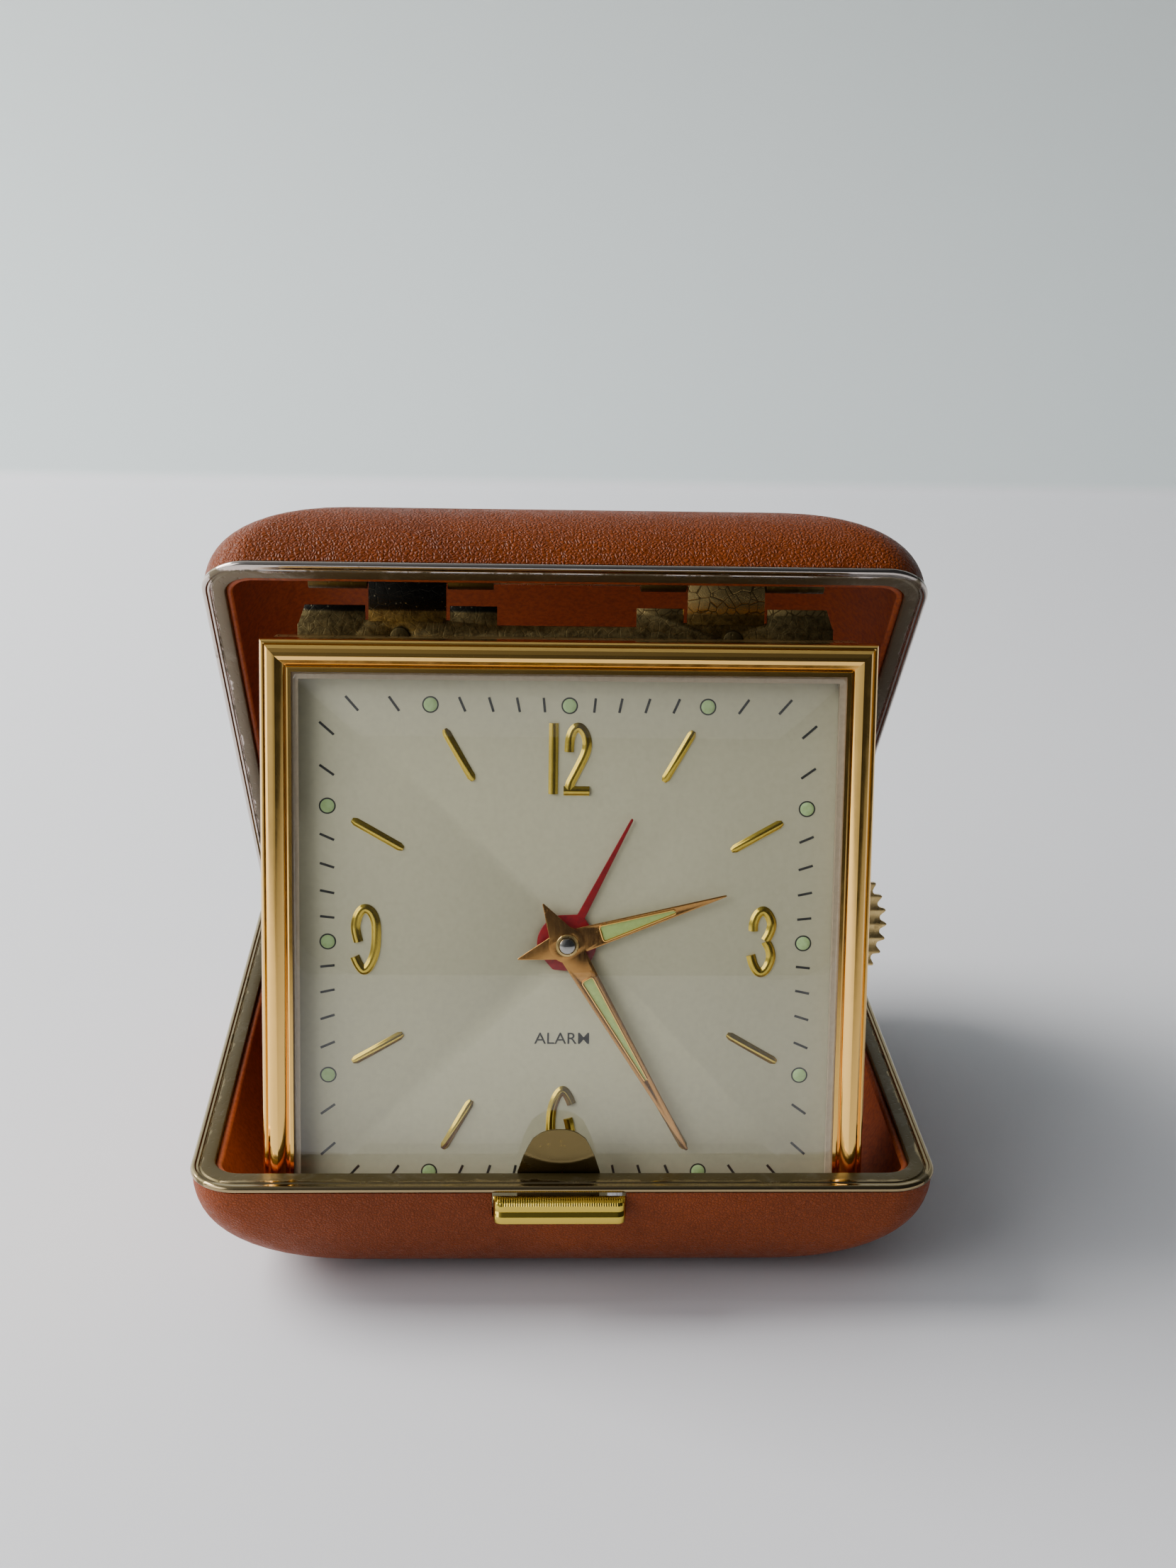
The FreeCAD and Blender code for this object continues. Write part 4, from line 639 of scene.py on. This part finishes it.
dial_paint, tree, sockets, at = new_material("cream dial", 0.0, 0.55)
centre = Vector(DIAL_CENTRE) * MM
apart = tree.node("ShaderNodeVectorMath", "distance from the dial centre", operation="DISTANCE")
tree.link(at, apart.inputs[0])
apart.inputs[1].default_value = centre
speckle = tree.remap(tree.noise(at, 1500.0, 4.0, 0.7), 0.3, 0.75)
cream = tree.mix(tree.math("MULTIPLY", speckle, 0.35), rgb(0.56, 0.54, 0.38), rgb(0.43, 0.41, 0.28))
cloud = tree.math("ADD", apart.outputs["Value"], tree.math("MULTIPLY", tree.noise(at, 400.0, 4.0), 0.0022))
stain = tree.math("MULTIPLY", tree.remap(cloud, 0.0055, 0.0026), 0.45)
tree.link(tree.mix(stain, cream, rgb(0.22, 0.13, 0.05)), sockets["Base Color"])
tree.link(tree.bump(speckle, 0.15, 0.00003), sockets["Normal"])

glass, tree, sockets, at = new_material("crystal", 0.0, 0.0)
sockets["Base Color"].default_value = rgb(0.98, 0.98, 0.96)
sockets["Transmission Weight"].default_value = 1.0
sockets["IOR"].default_value = 1.48
clear = tree.node("ShaderNodeBsdfTransparent")
either = tree.node("ShaderNodeMixShader")
tree.link(tree.node("ShaderNodeLightPath").outputs["Is Shadow Ray"], either.inputs[0])
tree.link(glass.node_tree.nodes["Principled BSDF"].outputs[0], either.inputs[1])
tree.link(clear.outputs[0], either.inputs[2])
tree.link(either.outputs[0], glass.node_tree.nodes["Material Output"].inputs["Surface"])
print(len(bpy.data.materials), "materials")

# %% [markdown]
# ## The case
#
# A padded tray bulges like a pillow.  Going down from the rim, each outline moves in by the
# swell times one minus the cosine of an angle, and drops by the swell times its sine, so the
# wall is a quarter circle.  The corners grow rounder on the way down.

# %% Leather trays and linings
HALF_X, HALF_Y, CORNER = 40.0, 39.6, 5.3
SWELL = 14.4
RIM_DEPTH = 0.8
SLOT_ANGLE = math.asin(3.0 / SWELL)
FRONT_FLANGE, SIDE_FLANGE = 3.1, 2.55


def pillow(offset, angles):
    """Outlines of the padded tray at the given angles, an offset inside its outer skin."""
    swell = SWELL - offset
    inset = 0.2 + offset + swell * (1 - np.cos(angles))
    radius = CORNER + 0.8 * SWELL * (1 - np.cos(angles)) - offset * np.cos(angles)
    plan = rounded_rectangle(HALF_X - inset, HALF_Y - inset, HALF_Y - inset, radius)
    return spread(plan, (-RIM_DEPTH - swell * np.sin(angles))[:, None])


def tray(name, body, offset, thickness, place, material, replaced, slot_open, pleats):
    """A padded tray thickened inwards; the latch's slot is left open in the front wall."""
    degrees = np.radians([0, 2.5, 5, 8, math.degrees(SLOT_ANGLE), *range(16, 88, 4), 87, 90])
    walls = pillow(offset, degrees)
    centre = np.array([0, 0, walls[-1, 0, 2]])
    floor = [centre + (walls[-1] - centre) * part for part in (0.93, 0.8, 0.6, 0.35, 0.12)]
    rows = np.concatenate([walls, floor])
    if pleats:
        columns = np.arange(rows.shape[1])
        near = np.minimum(np.abs(np.abs(rows[..., 0]) / HALF_X + np.abs(rows[..., 1]) / HALF_Y - 1.75), 0.5)
        fold = pleats * (columns % 2) * (1 - near / 0.5) * (rows[..., 2] > walls[-1, 0, 2] + 0.5)
        rows[..., :2] *= (1 - fold / HALF_X)[..., None]
    points, faces = grid(rows, caps=(-1,))
    quads = faces[0].reshape(rows.shape[0] - 1, rows.shape[1], 4)
    keep = np.ones(quads.shape[:2], bool)
    if slot_open:
        keep[:4, list(SLOT_CELLS)] = False
    faces = quads[keep][:, ::-1].tolist() + faces[1][:, ::-1].tolist()
    thing = add_mesh(name, points, faces, place)
    wall = thing.modifiers.new("wall", "SOLIDIFY")
    wall.thickness = thickness * MM
    wall.offset = -1
    settle(thing)
    return finish_piece(thing, body, material, replaced, 50.0)


tray("lid_cover", "lid", 0.0, 0.7, ON_LID_TRAY, lid_hide, ("lid_leather",), False, 0.0)
tray("base_cover", "base", 0.0, 0.7, ON_BASE, base_hide, ("base_leather",), True, 0.0)
tray("lid_cloth", "lid", 1.25, 0.25, ON_LID_TRAY, lining_cloth, ("lid_lining",), False, 0.5)
tray("base_cloth", "base", 1.25, 0.25, ON_BASE, lining_cloth, ("base_lining",), True, 0.3)


def round_section(radius, height=0.0, steps=12):
    """Circle in (outward, height) pairs."""
    turn = np.linspace(0, 2 * math.pi, steps, endpoint=False)
    return np.stack([radius * np.cos(turn), height + radius * np.sin(turn)], axis=1)


cord_line = rounded_rectangle(37.1, 36.1, 36.7, 2.8)[0]
make_piece("lid_cloth_cord", "lid", [swept(cord_line, round_section(0.4, -0.95), closed=True)],
           ON_LID_TRAY, lining_cloth)
beside_latch = ~((cord_line[:, 1] < -36) & (np.abs(cord_line[:, 0] - LATCH_X) < 5.0))
start = int(np.argmin(beside_latch))
open_line = np.roll(cord_line, -start, axis=0)[np.roll(beside_latch, -start)]
make_piece("base_cloth_cord", "base", [swept(open_line, round_section(0.4, -0.95))],
           ON_BASE, lining_cloth)

# %% Metal rims: a round bead outside, a groove, and a flat flange inside
def outer_row(inward, height):
    plan = rounded_rectangle(HALF_X - inward, HALF_Y - inward, HALF_Y - inward, CORNER - inward)
    return spread(plan, height)


def inner_row(outward, height, front):
    plan = rounded_rectangle(HALF_X - SIDE_FLANGE + outward, HALF_Y - front + outward,
                             HALF_Y - SIDE_FLANGE + outward, 3.0 + outward)
    return spread(plan, height)


def rim(name, body, place, material, replaced, front):
    """Stacked outlines round the rim's section, with the wear attribute set by position."""
    rows = [inner_row(out, z, front) for out, z in ((0, -0.75), (0, -0.12), (0.05, -0.05), (0.2, -0.02))]
    groove = ((1.45, -0.02), (1.2, -0.03), (1.1, -0.16), (1.0, -0.2), (0.92, -0.12), (0.85, -0.03))
    rows += [outer_row(d, z) for d, z in groove]
    for angle in np.radians(np.arange(55, 271, 18)):
        rows.append(outer_row(0.42 + 0.4 * math.cos(angle), -0.4 + 0.4 * math.sin(angle)))
    rows.append(outer_row(1.2, -0.8))
    thing = make_piece(name, body, [grid(np.concatenate(rows), wrap_rows=True)], place, material,
                       replaced, 40.0)
    spots = np.empty(len(thing.data.vertices) * 3)
    thing.data.vertices.foreach_get("co", spots)
    back = np.array(place.inverted())
    flat = spots.reshape(-1, 3) @ back[:3, :3].T + back[:3, 3]
    sides = (HALF_X - np.abs(flat[:, 0])) / SIDE_FLANGE
    ends = np.where(flat[:, 1] < 0, (HALF_Y + flat[:, 1]) / front, (HALF_Y - flat[:, 1]) / SIDE_FLANGE)
    across = np.clip(np.minimum(sides, ends), 0, 1).astype(np.float32)
    thing.data.attributes.new(RIM_WEAR, "FLOAT", "POINT").data.foreach_set("value", across)
    return thing


rim("lid_rim_metal", "lid", ON_LID_TRAY, nickel, ("lid_rim",), SIDE_FLANGE)
rim("base_rim_metal", "base", ON_BASE, mossy_nickel, ("base_rim",), FRONT_FLANGE)
print(len(SHOWN), "pieces on the case")

# %% [markdown]
# ## The head
#
# Its frame is one moulding on a square, mitred at the corners.  The moulding's profile is a
# list of (distance in from the outside, height) pairs, and each pair is a square outline.

# %% Frame, crystal and dial
HEAD_HALF, HEAD_FOOT, CUT_LINE = 32.4, 31.0, 60.5
MOULDING = [
    (0, -.9), (0, 1.5), (.08, 1.9), (.25, 2.15), (.4, 2.2), (.5, 2.12), (.62, 2.3), (.9, 2.72),
    (1.3, 2.93), (1.7, 2.97), (2.1, 2.8), (2.45, 2.5), (2.6, 2.35), (2.68, 2.2), (2.75, 2.2),
    (2.85, 2.38), (3, 2.45), (3.35, 2.45), (3.35, 2.2), (2.5, 2.15), (2.5, -.9),
]


def footed_square(half):
    """Square outline whose foot is flat and whose lower corners are cut across."""
    foot = min(half, HEAD_FOOT)
    low, near = max(half - CUT_LINE, -foot), min(CUT_LINE - foot, half)
    return np.array([(half, half), (-half, half), (-half, low), (-near, -foot), (near, -foot), (half, low)])


mitres = [spread(footed_square(HEAD_HALF - inward), z) for inward, z in MOULDING]
bezel = make_piece("head_moulding", "head", [grid(np.stack(mitres), wrap_rows=True)], ON_HEAD, gold,
                   ("head_frame",), 24.0)
back = ON_HEAD.inverted()
flat = [back @ vertex.co for vertex in bezel.data.vertices]
on_mitre = [abs(abs(p.x) - abs(p.y)) < 0.01 for p in flat]
for edge in bezel.data.edges:
    edge.use_edge_sharp = edge.use_edge_sharp or all(on_mitre[v] for v in edge.vertices)

lens = []
for half, z in ((20, 2.15), (28.7, 2.15), (28.85, 2.2), (28.85, 2.5), (28.78, 2.56), (28.65, 2.58)):
    lens.append(spread(rounded_rectangle(half, half, half, 0.5)[0], z))
lens_edge = rounded_rectangle(28.65, 28.65, 28.65, 0.5)[0]
for part in (0.96, 0.85, 0.7, 0.5, 0.3, 0.1):
    lens.append(spread(lens_edge * part, 2.58 + 0.15 * (1 - part**2)))
make_piece("crystal_dome", "head", [grid(np.stack(lens), caps=(0, -1))], ON_HEAD, glass,
           ("crystal",), 40.0)

TICK_REACH = (24.7, 26.2)
DOT_REACH = 25.4
ROUND_STEPS = 28
DOT = [(0.0001, 0), (0.7, 0), (0.72, 0.04), (0.6, 0.1), (0.35, 0.12), (0.0001, 0.125)]
RING = [(0.7, 0), (0.88, 0), (0.86, 0.035), (0.72, 0.035), (0.7, 0)]


def way_to(degrees):
    """Unit vector on the dial, clockwise from twelve."""
    angle = math.radians(degrees)
    return np.array([math.sin(angle), math.cos(angle)])


ticks = []
box_section = np.array([(-0.13, 0.0), (0.13, 0.0), (0.13, 0.03), (-0.13, 0.03)])
for minute in range(60):
    if minute % 5:
        way = way_to(6 * minute)
        ends = np.outer(np.array(TICK_REACH) / np.abs(way).max(), way)
        ticks.append(swept(ends, box_section))
dots, rings = [], []
for hour in range(12):
    way = way_to(30 * hour)
    x, y = DOT_REACH * way / np.abs(way).max()
    dots.append(shifted(lathe(DOT, ROUND_STEPS), x, y))
    rings.append(shifted(lathe(RING, ROUND_STEPS), x, y))
make_piece("dial_print", "head", ticks + rings, ON_HEAD, black_print)
make_piece("lume_dots", "head", dots, ON_HEAD, lume_paint, ("dial_lume_dots",), 50.0)

word = bpy.data.curves.new("alarm_word", "FONT")
word.body = "ALARM"
word.align_x = word.align_y = "CENTER"
word.size, word.extrude, word.offset = 1.8, 0.012, 0.004
word_holder = bpy.data.objects.new("alarm_word_outline", word)
bpy.context.scene.collection.objects.link(word_holder)
bpy.context.view_layer.update()
letters = bpy.data.meshes.new_from_object(word_holder.evaluated_get(bpy.context.evaluated_depsgraph_get()))
bpy.data.objects.remove(word_holder)
letters.transform(Matrix.Translation((-0.34, -10.65, 0.015)) @ Matrix.Scale(6.2 / 5.9, 4, (1, 0, 0)))
letters.transform(ON_HEAD)
tidy_mesh(letters)
alarm_word = bpy.data.objects.new("dial_word", letters)
bpy.context.scene.collection.objects.link(alarm_word)
finish_piece(alarm_word, "head", black_print)
print("dial:", len(ticks), "ticks,", len(dots), "dots")

# %% Raised numerals and batons: half-round strokes along a line
STROKE = [(-.5, 0), (.5, 0), (.5, .08), (.42, .12), (.3, .24), (.12, .33), (-.12, .33), (-.3, .24),
          (-.42, .12), (-.5, .08)]
NINE = [(-22.2, 0), (-22.4, .8), (-22.5, 1.7), (-22.3, 2.7), (-21.9, 3.4), (-21.45, 3.6), (-20.9, 3.3),
        (-20.5, 2.5), (-20.35, 1.5), (-20.4, -.5), (-20.7, -1.8), (-21.2, -2.8), (-21.7, -3.1),
        (-22.2, -2.5), (-22.6, -1.6)]
SIX_TURN = np.array([-21.85, -19.5])
strokes = [
    [(-1.65, 16.1), (-1.65, 23.6)],
    [(0, 20.6), (.02, 21.2), (.1, 22), (.4, 22.8), (.85, 23.15), (1.3, 23), (1.75, 22.3), (1.9, 21.3),
     (1.7, 20.4), (1.2, 19.3), (.65, 18.2), (.2, 17.3), (0, 16.5)],
    [(-.55, 16.45), (2.2, 16.45)],
    [(20.05, 1.35), (20.1, 2.2), (20.45, 3.1), (21, 3.55), (21.5, 3.3), (21.9, 2.6), (22, 1.9),
     (21.8, 1.1), (21.4, .3)],
    [(21.4, .2), (21.8, -.5), (22, -1.4), (21.85, -2.2), (21.45, -2.95), (20.95, -3.25),
     (20.5, -2.95), (20.1, -2.2), (19.85, -1.3)],
    NINE, SIX_TURN - np.array(NINE),
]
make_piece("raised_numerals", "head", [swept(smooth_path(line, 6), STROKE) for line in strokes],
           ON_HEAD, mark_gold, ("dial_numerals",), 30.0)
BATON_REACH = [20.2, 20.65, 25.95, 26.4]
BATON_SIZE = 0.9
batons = []
for hour in (1, 2, 4, 5, 7, 8, 10, 11):
    line = np.outer(BATON_REACH, way_to(30 * hour))
    batons.append(swept(line, np.array(STROKE) * BATON_SIZE, scale=[0.55, 1, 1, 0.55]))
make_piece("raised_batons", "head", batons, ON_HEAD, mark_gold, ("dial_batons",), 30.0)

# %% Hands
def pointer(hub, tail, shoulder, tip_half, length):
    """Outline of a hand: pointed tail, round hub and a blade that narrows to the tip."""
    arc = np.radians(np.linspace(-48, 46, 12))
    side = [(0.08, -tail)] + [(hub * math.cos(a), hub * math.sin(a)) for a in arc]
    side += [shoulder, (tip_half, length - 0.25), (tip_half * 0.6, length - 0.05)]
    return np.array(side + [(-x, y) for x, y in side[::-1]])


def window(low, low_half, high, high_half):
    """Outline of the tapering opening, with rounded corners."""
    corners = [(-low_half, low), (low_half, low), (high_half, high), (-high_half, high)]
    return eased(corners, [0.35, 0.35, high_half, high_half])


def dress_hand(name, body, turn, level, outline, opening, hub_hole, material, replaced):
    """The stamped hand, a raised edge round its opening, and the luminous filling."""
    place = on_head(turn=turn)
    loops = [outline, circle_path(hub_hole)] + ([opening] if opening is not None else [])
    blade = stamped(name, loops, level, level + 0.15, 0.05, place)
    finish_piece(blade, body, material, replaced[:1], 30.0)
    if opening is not None:
        lip = swept(opening[::-1], round_section(0.11, level + 0.14, 8), closed=True)
        make_piece(name + "_lip", body, [lip], place, gold)
        paint = stamped(name + "_lume_fill", [opening], level + 0.01, level + 0.12, 0.02, place)
        finish_piece(paint, body, old_lume, replaced[1:], 30.0)


dress_hand("minute_pointer", "centre_arbor", 149.6, 1.3, pointer(1.95, 5.2, (1.38, 1.5), 0.2, 26.3),
           window(4.3, 0.67, 17.2, 0.16), 0.8, hand_gold, ("minute_hand", "minute_hand_lume"))
dress_hand("hour_pointer", "hour_hand", 72.5, 0.85, pointer(1.95, 5.5, (1.4, 1.4), 0.12, 17.9),
           window(3.85, 0.9, 12.1, 0.22), 1.2, hand_gold, ("hour_hand", "hour_hand_lume"))
dress_hand("alarm_pointer", "alarm_hand", 26.8, 0.35, pointer(3.2, 3.2, (0.45, 3.3), 0.15, 15.2),
           None, 1.6, red_lacquer, ("alarm_hand",))
collar = [(0.9, 1.42), (1.22, 1.42), (1.22, 1.68), (1.15, 1.76), (0.95, 1.78), (0.9, 1.7), (0.9, 1.42)]
pin = [(0.0001, 1.42), (0.87, 1.42), (0.87, 1.85), (0.8, 1.98), (0.6, 2.07), (0.3, 2.1), (0.0001, 2.11)]
make_piece("hand_collar", "centre_arbor", [lathe(collar)], ON_HEAD, brass)
make_piece("hand_pin", "centre_arbor", [lathe(pin)], ON_HEAD, chrome)

# %% Thumb wheel
TEETH, PITCH_RADIUS = 33, 8.33
TOOTH = [(-0.5, -0.42), (-0.34, -0.36), (-0.2, -0.05), (-0.1, 0.24), (0, 0.36), (0.1, 0.24), (0.2, -0.05),
         (0.34, -0.36)]
cog = [(PITCH_RADIUS + rise, (tooth + part) * 2 * math.pi / TEETH)
       for tooth in range(TEETH) for part, rise in TOOTH]
cog = np.array([(r * math.cos(a), r * math.sin(a)) for r, a in cog])
wheel = stamped("thumb_cog", [cog, circle_path(0.54)], -10.45, -9.75, 0.04, on_head(27.8, 0))
finish_piece(wheel, "thumb_wheel", brass, ("winding_thumb_wheel",), 30.0)
print("tip radius", round(float(np.hypot(*cog.T).max()), 2))

# %% [markdown]
# ## The latch
#
# The push bar is one section carried from left to right, and its front corners are rounded.
# The tongue is a thin sheet whose width follows a dome, with a ridge across it.

# %% Push bar and tongue
BAR = np.array([(.1, -.9), (.9, -1), (1.25, -1.12), (1.45, -1.4), (1.5, -1.8), (1.45, -2.1), (1.6, -2.25),
                (1.85, -2.5), (1.9, -2.9), (1.8, -3.3), (1.4, -3.6), (.8, -3.7), (.1, -3.7)])
HALF_BAR, BAR_ROUND = 6.97, 0.9
across = np.concatenate([[-HALF_BAR], np.linspace(-6.85, 6.85, 110), [HALF_BAR]])
past = np.clip((np.abs(across) - HALF_BAR + BAR_ROUND) / BAR_ROUND, 0, 1)
drop = BAR_ROUND * (1 - np.sqrt(1 - past**2))
out = np.maximum(BAR[None, :, 0] - drop[:, None], 0.1)
ribs = -0.06 * (np.arange(len(across)) % 2)[:, None] * (np.arange(len(BAR)) < 4)[None]
body_rows = np.stack([np.broadcast_to((LATCH_X + across)[:, None], out.shape), -HALF_Y - out,
                      BAR[None, :, 1] + ribs], axis=-1)
make_piece("latch_bar", "latch", [grid(body_rows, caps=(0, -1))], ON_BASE, mark_gold,
           ("latch_push_bar",), 28.0)

levels = np.concatenate([[-3.6, -0.4], np.linspace(0, 4.6, 24), [4.8, 4.95, 5.05]])
TONGUE_X, TONGUE_FRONT, TONGUE_REAR = -0.72, -36.42, -36.17
TONGUE_LEVELS = [-3.6, 0, 1, 2, 3, 4, 4.7, 4.95, 5.1]
TONGUE_HALVES = [4.4, 4.4, 4.1, 3.8, 3.35, 2.8, 1.9, 1.2, 0.2]
half_width = np.interp(levels, TONGUE_LEVELS, TONGUE_HALVES)
side = np.linspace(-1, 1, 25)
x = TONGUE_X + half_width[:, None] * side[None]
z = np.broadcast_to(levels[:, None], x.shape)
ridge = 1.3 + 0.075 * (x + 0.5) ** 2
bulge = np.where(z > 0, 0.32 * np.exp(-np.abs(z - ridge) / 1.1), 0.0) * (1 - 0.3 * side[None] ** 2)
front = np.stack([x, TONGUE_FRONT - bulge, z], axis=-1)
rear = np.stack([x, TONGUE_REAR - bulge * 0.9, z], axis=-1)[:, ::-1]
skin = grid(np.concatenate([front, rear], axis=1), caps=(0, -1))
make_piece("latch_tab", "latch", [skin], ON_BASE, tab_brass, ("latch_tongue",), 30.0)

# %% [markdown]
# ## Parts kept from the mechanical model
#
# Hinges, screws and knobs already have their final form in the frame.  They only need their
# double points merged and their edges softened.  The movement inside keeps its own shape and
# gets a metal finish.

# %% Softened copies and finishes
SOFT = {
    "rear_hinge_base_leaf": (0.12, olive, "base"), "rear_hinge_lid_leaf": (0.12, olive, "lid"),
    "rear_hinge_pin": (0.1, steel, "base"), "top_hinge_bracket": (0.1, olive, "lid"),
    "top_hinge_pin": (0.08, steel, "lid"), "head_hinge_plate": (0.1, curls, "head"),
    "hinge_plate_rivets": (0.15, olive, "head"), "back_cover": (0.25, case_metal, "head"),
    "case_band": (0.1, case_metal, "head"), "back_cover_screws": (0.06, steel, "head"),
    "hand_setting_knob": (0.12, brass, "centre_arbor"), "alarm_setting_knob": (0.12, brass, "alarm_setter"),
    "alarm_winding_key": (0.12, brass, "alarm_barrel"), "alarm_stop_slide": (0.1, brass, "alarm_stop"),
    "regulator_lever": (0.05, steel, "regulator"), "dial": (0.02, dial_paint, "head"),
    "crystal_retainer": (0.03, grey_beige, "head"),
}
for node, (width, material, body) in SOFT.items():
    softened(node, width, material, body)
STEEL_PARTS = (
    "base_shell", "lid_shell", "latch_spring", "hairspring", "pallet_fork", "alarm_setting_arbor",
    "barrel_arbor", "alarm_hammer", "plate_screws", "movement_studs")
BRASS_PARTS = (
    "centre_wheel", "mainspring_barrel", "third_wheel", "fourth_wheel", "escape_wheel",
    "balance_wheel", "cannon_pinion", "minute_wheel", "hour_wheel", "alarm_wheel",
    "alarm_barrel", "front_plate", "back_plate", "plate_pillars")
for group, material in ((STEEL_PARTS, steel), (BRASS_PARTS, brass)):
    for node in group:
        nodes[node].data.materials.clear()
        nodes[node].data.materials.append(material)
print(len(SHOWN), "pieces,", sum(SHOWN.values()), "faces")

# %% [markdown]
# ## Table, light and camera
#
# The clock stands on a pale table in front of a pale wall.  A large soft light is high on the
# left and a little behind, and a weaker one is on the left in front.  The room is bright on
# the left and dark on the right and in front, which gives the metal its contrast.

# %% Table and wall, the wall with painted shade towards its top
TABLE_START, TABLE_END, COVE, WALL_TOP, SIDE = -0.9, 0.4, 0.004, 0.9, 1.4
turn = np.linspace(0, math.pi / 2, 9)
bend = np.stack([TABLE_END + COVE * np.sin(turn), COVE * (1 - np.cos(turn))], axis=1)
profile = np.concatenate([[(TABLE_START, 0.0)], bend, [(TABLE_END + COVE, WALL_TOP)]])
sheet = np.array([[(x, y, z) for x in (-SIDE, SIDE)] for y, z in profile])
points, faces = grid(sheet, wrap_columns=False)
mesh = bpy.data.meshes.new("studio")
mesh.from_pydata(points.tolist(), [], faces[0][:, ::-1].tolist())
studio = bpy.data.objects.new("studio", mesh)
bpy.context.scene.collection.objects.link(studio)
shade(mesh)
table, tree, sockets, at = new_material("pale table and wall with painted shade at the top", 0.0, 0.6)
parts = tree.node("ShaderNodeSeparateXYZ")
tree.link(at, parts.inputs[0])
# Painted shade: the wall's colour gets darker towards its top, standing in for the light that falls off up
# the wall.
wall = tree.mix(tree.remap(parts.outputs[2], 0.0, 0.28), rgb(0.78, 0.86, 0.86), rgb(0.50, 0.54, 0.53))
up = tree.remap(parts.outputs[2], 0.0002, 0.004)
tree.link(tree.mix(up, rgb(0.80, 0.80, 0.84), wall), sockets["Base Color"])
mesh.materials.append(table)

# %% Lights and camera
def area(name, place, target, size, power, colour):
    lamp = bpy.data.lights.new(name, "AREA")
    lamp.shape, lamp.size, lamp.energy, lamp.color = "SQUARE", size, power, colour
    thing = bpy.data.objects.new(name, lamp)
    thing.location = place
    thing.rotation_euler = (Vector(target) - Vector(place)).to_track_quat("-Z", "Y").to_euler()
    bpy.context.scene.collection.objects.link(thing)
    return thing


HEART = (0.0, 0.0, 0.03)
area("window", (-0.62, 0.14, 0.5), HEART, 0.5, 11.0, (1.0, 0.985, 0.95))
area("left fill", (-0.7, -0.5, 0.5), HEART, 0.6, 3.6, (1.0, 0.99, 0.98))
world = bpy.data.worlds.new("room")
world.use_nodes = True
tree = Tree(world.node_tree)
parts = tree.node("ShaderNodeSeparateXYZ")
tree.link(tree.node("ShaderNodeTexCoord").outputs["Generated"], parts.inputs[0])
leftward = tree.remap(tree.math("SUBTRACT", tree.math("MULTIPLY", parts.outputs[1], 0.3), parts.outputs[0]),
                      -0.5, 0.95)
backdrop = world.node_tree.nodes["Background"].inputs
tree.link(tree.mix(leftward, rgb(0.05, 0.052, 0.056), rgb(0.95, 1.0, 1.05)), backdrop["Color"])
backdrop["Strength"].default_value = 0.7
bpy.context.scene.world = world

PITCH, YAW, ROLL = (math.radians(a) for a in (19.52, 2.81, 1.37))
ahead = Vector((math.sin(YAW) * math.cos(PITCH), math.cos(YAW) * math.cos(PITCH), -math.sin(PITCH)))
right = Vector((math.cos(YAW), -math.sin(YAW), 0))
upward = right.cross(ahead)
across_axis = math.cos(ROLL) * right + math.sin(ROLL) * upward
up_axis = -math.sin(ROLL) * right + math.cos(ROLL) * upward
lens_data = bpy.data.cameras.new("camera")
lens_data.lens = 47.68
lens_data.clip_start = 0.01
camera = bpy.data.objects.new("camera", lens_data)
axes = Matrix((across_axis, up_axis, -ahead)).transposed().to_4x4()
camera.matrix_world = Matrix.Translation((-0.00814, -0.23117, 0.12827)) @ axes
bpy.context.scene.collection.objects.link(camera)
bpy.context.scene.camera = camera
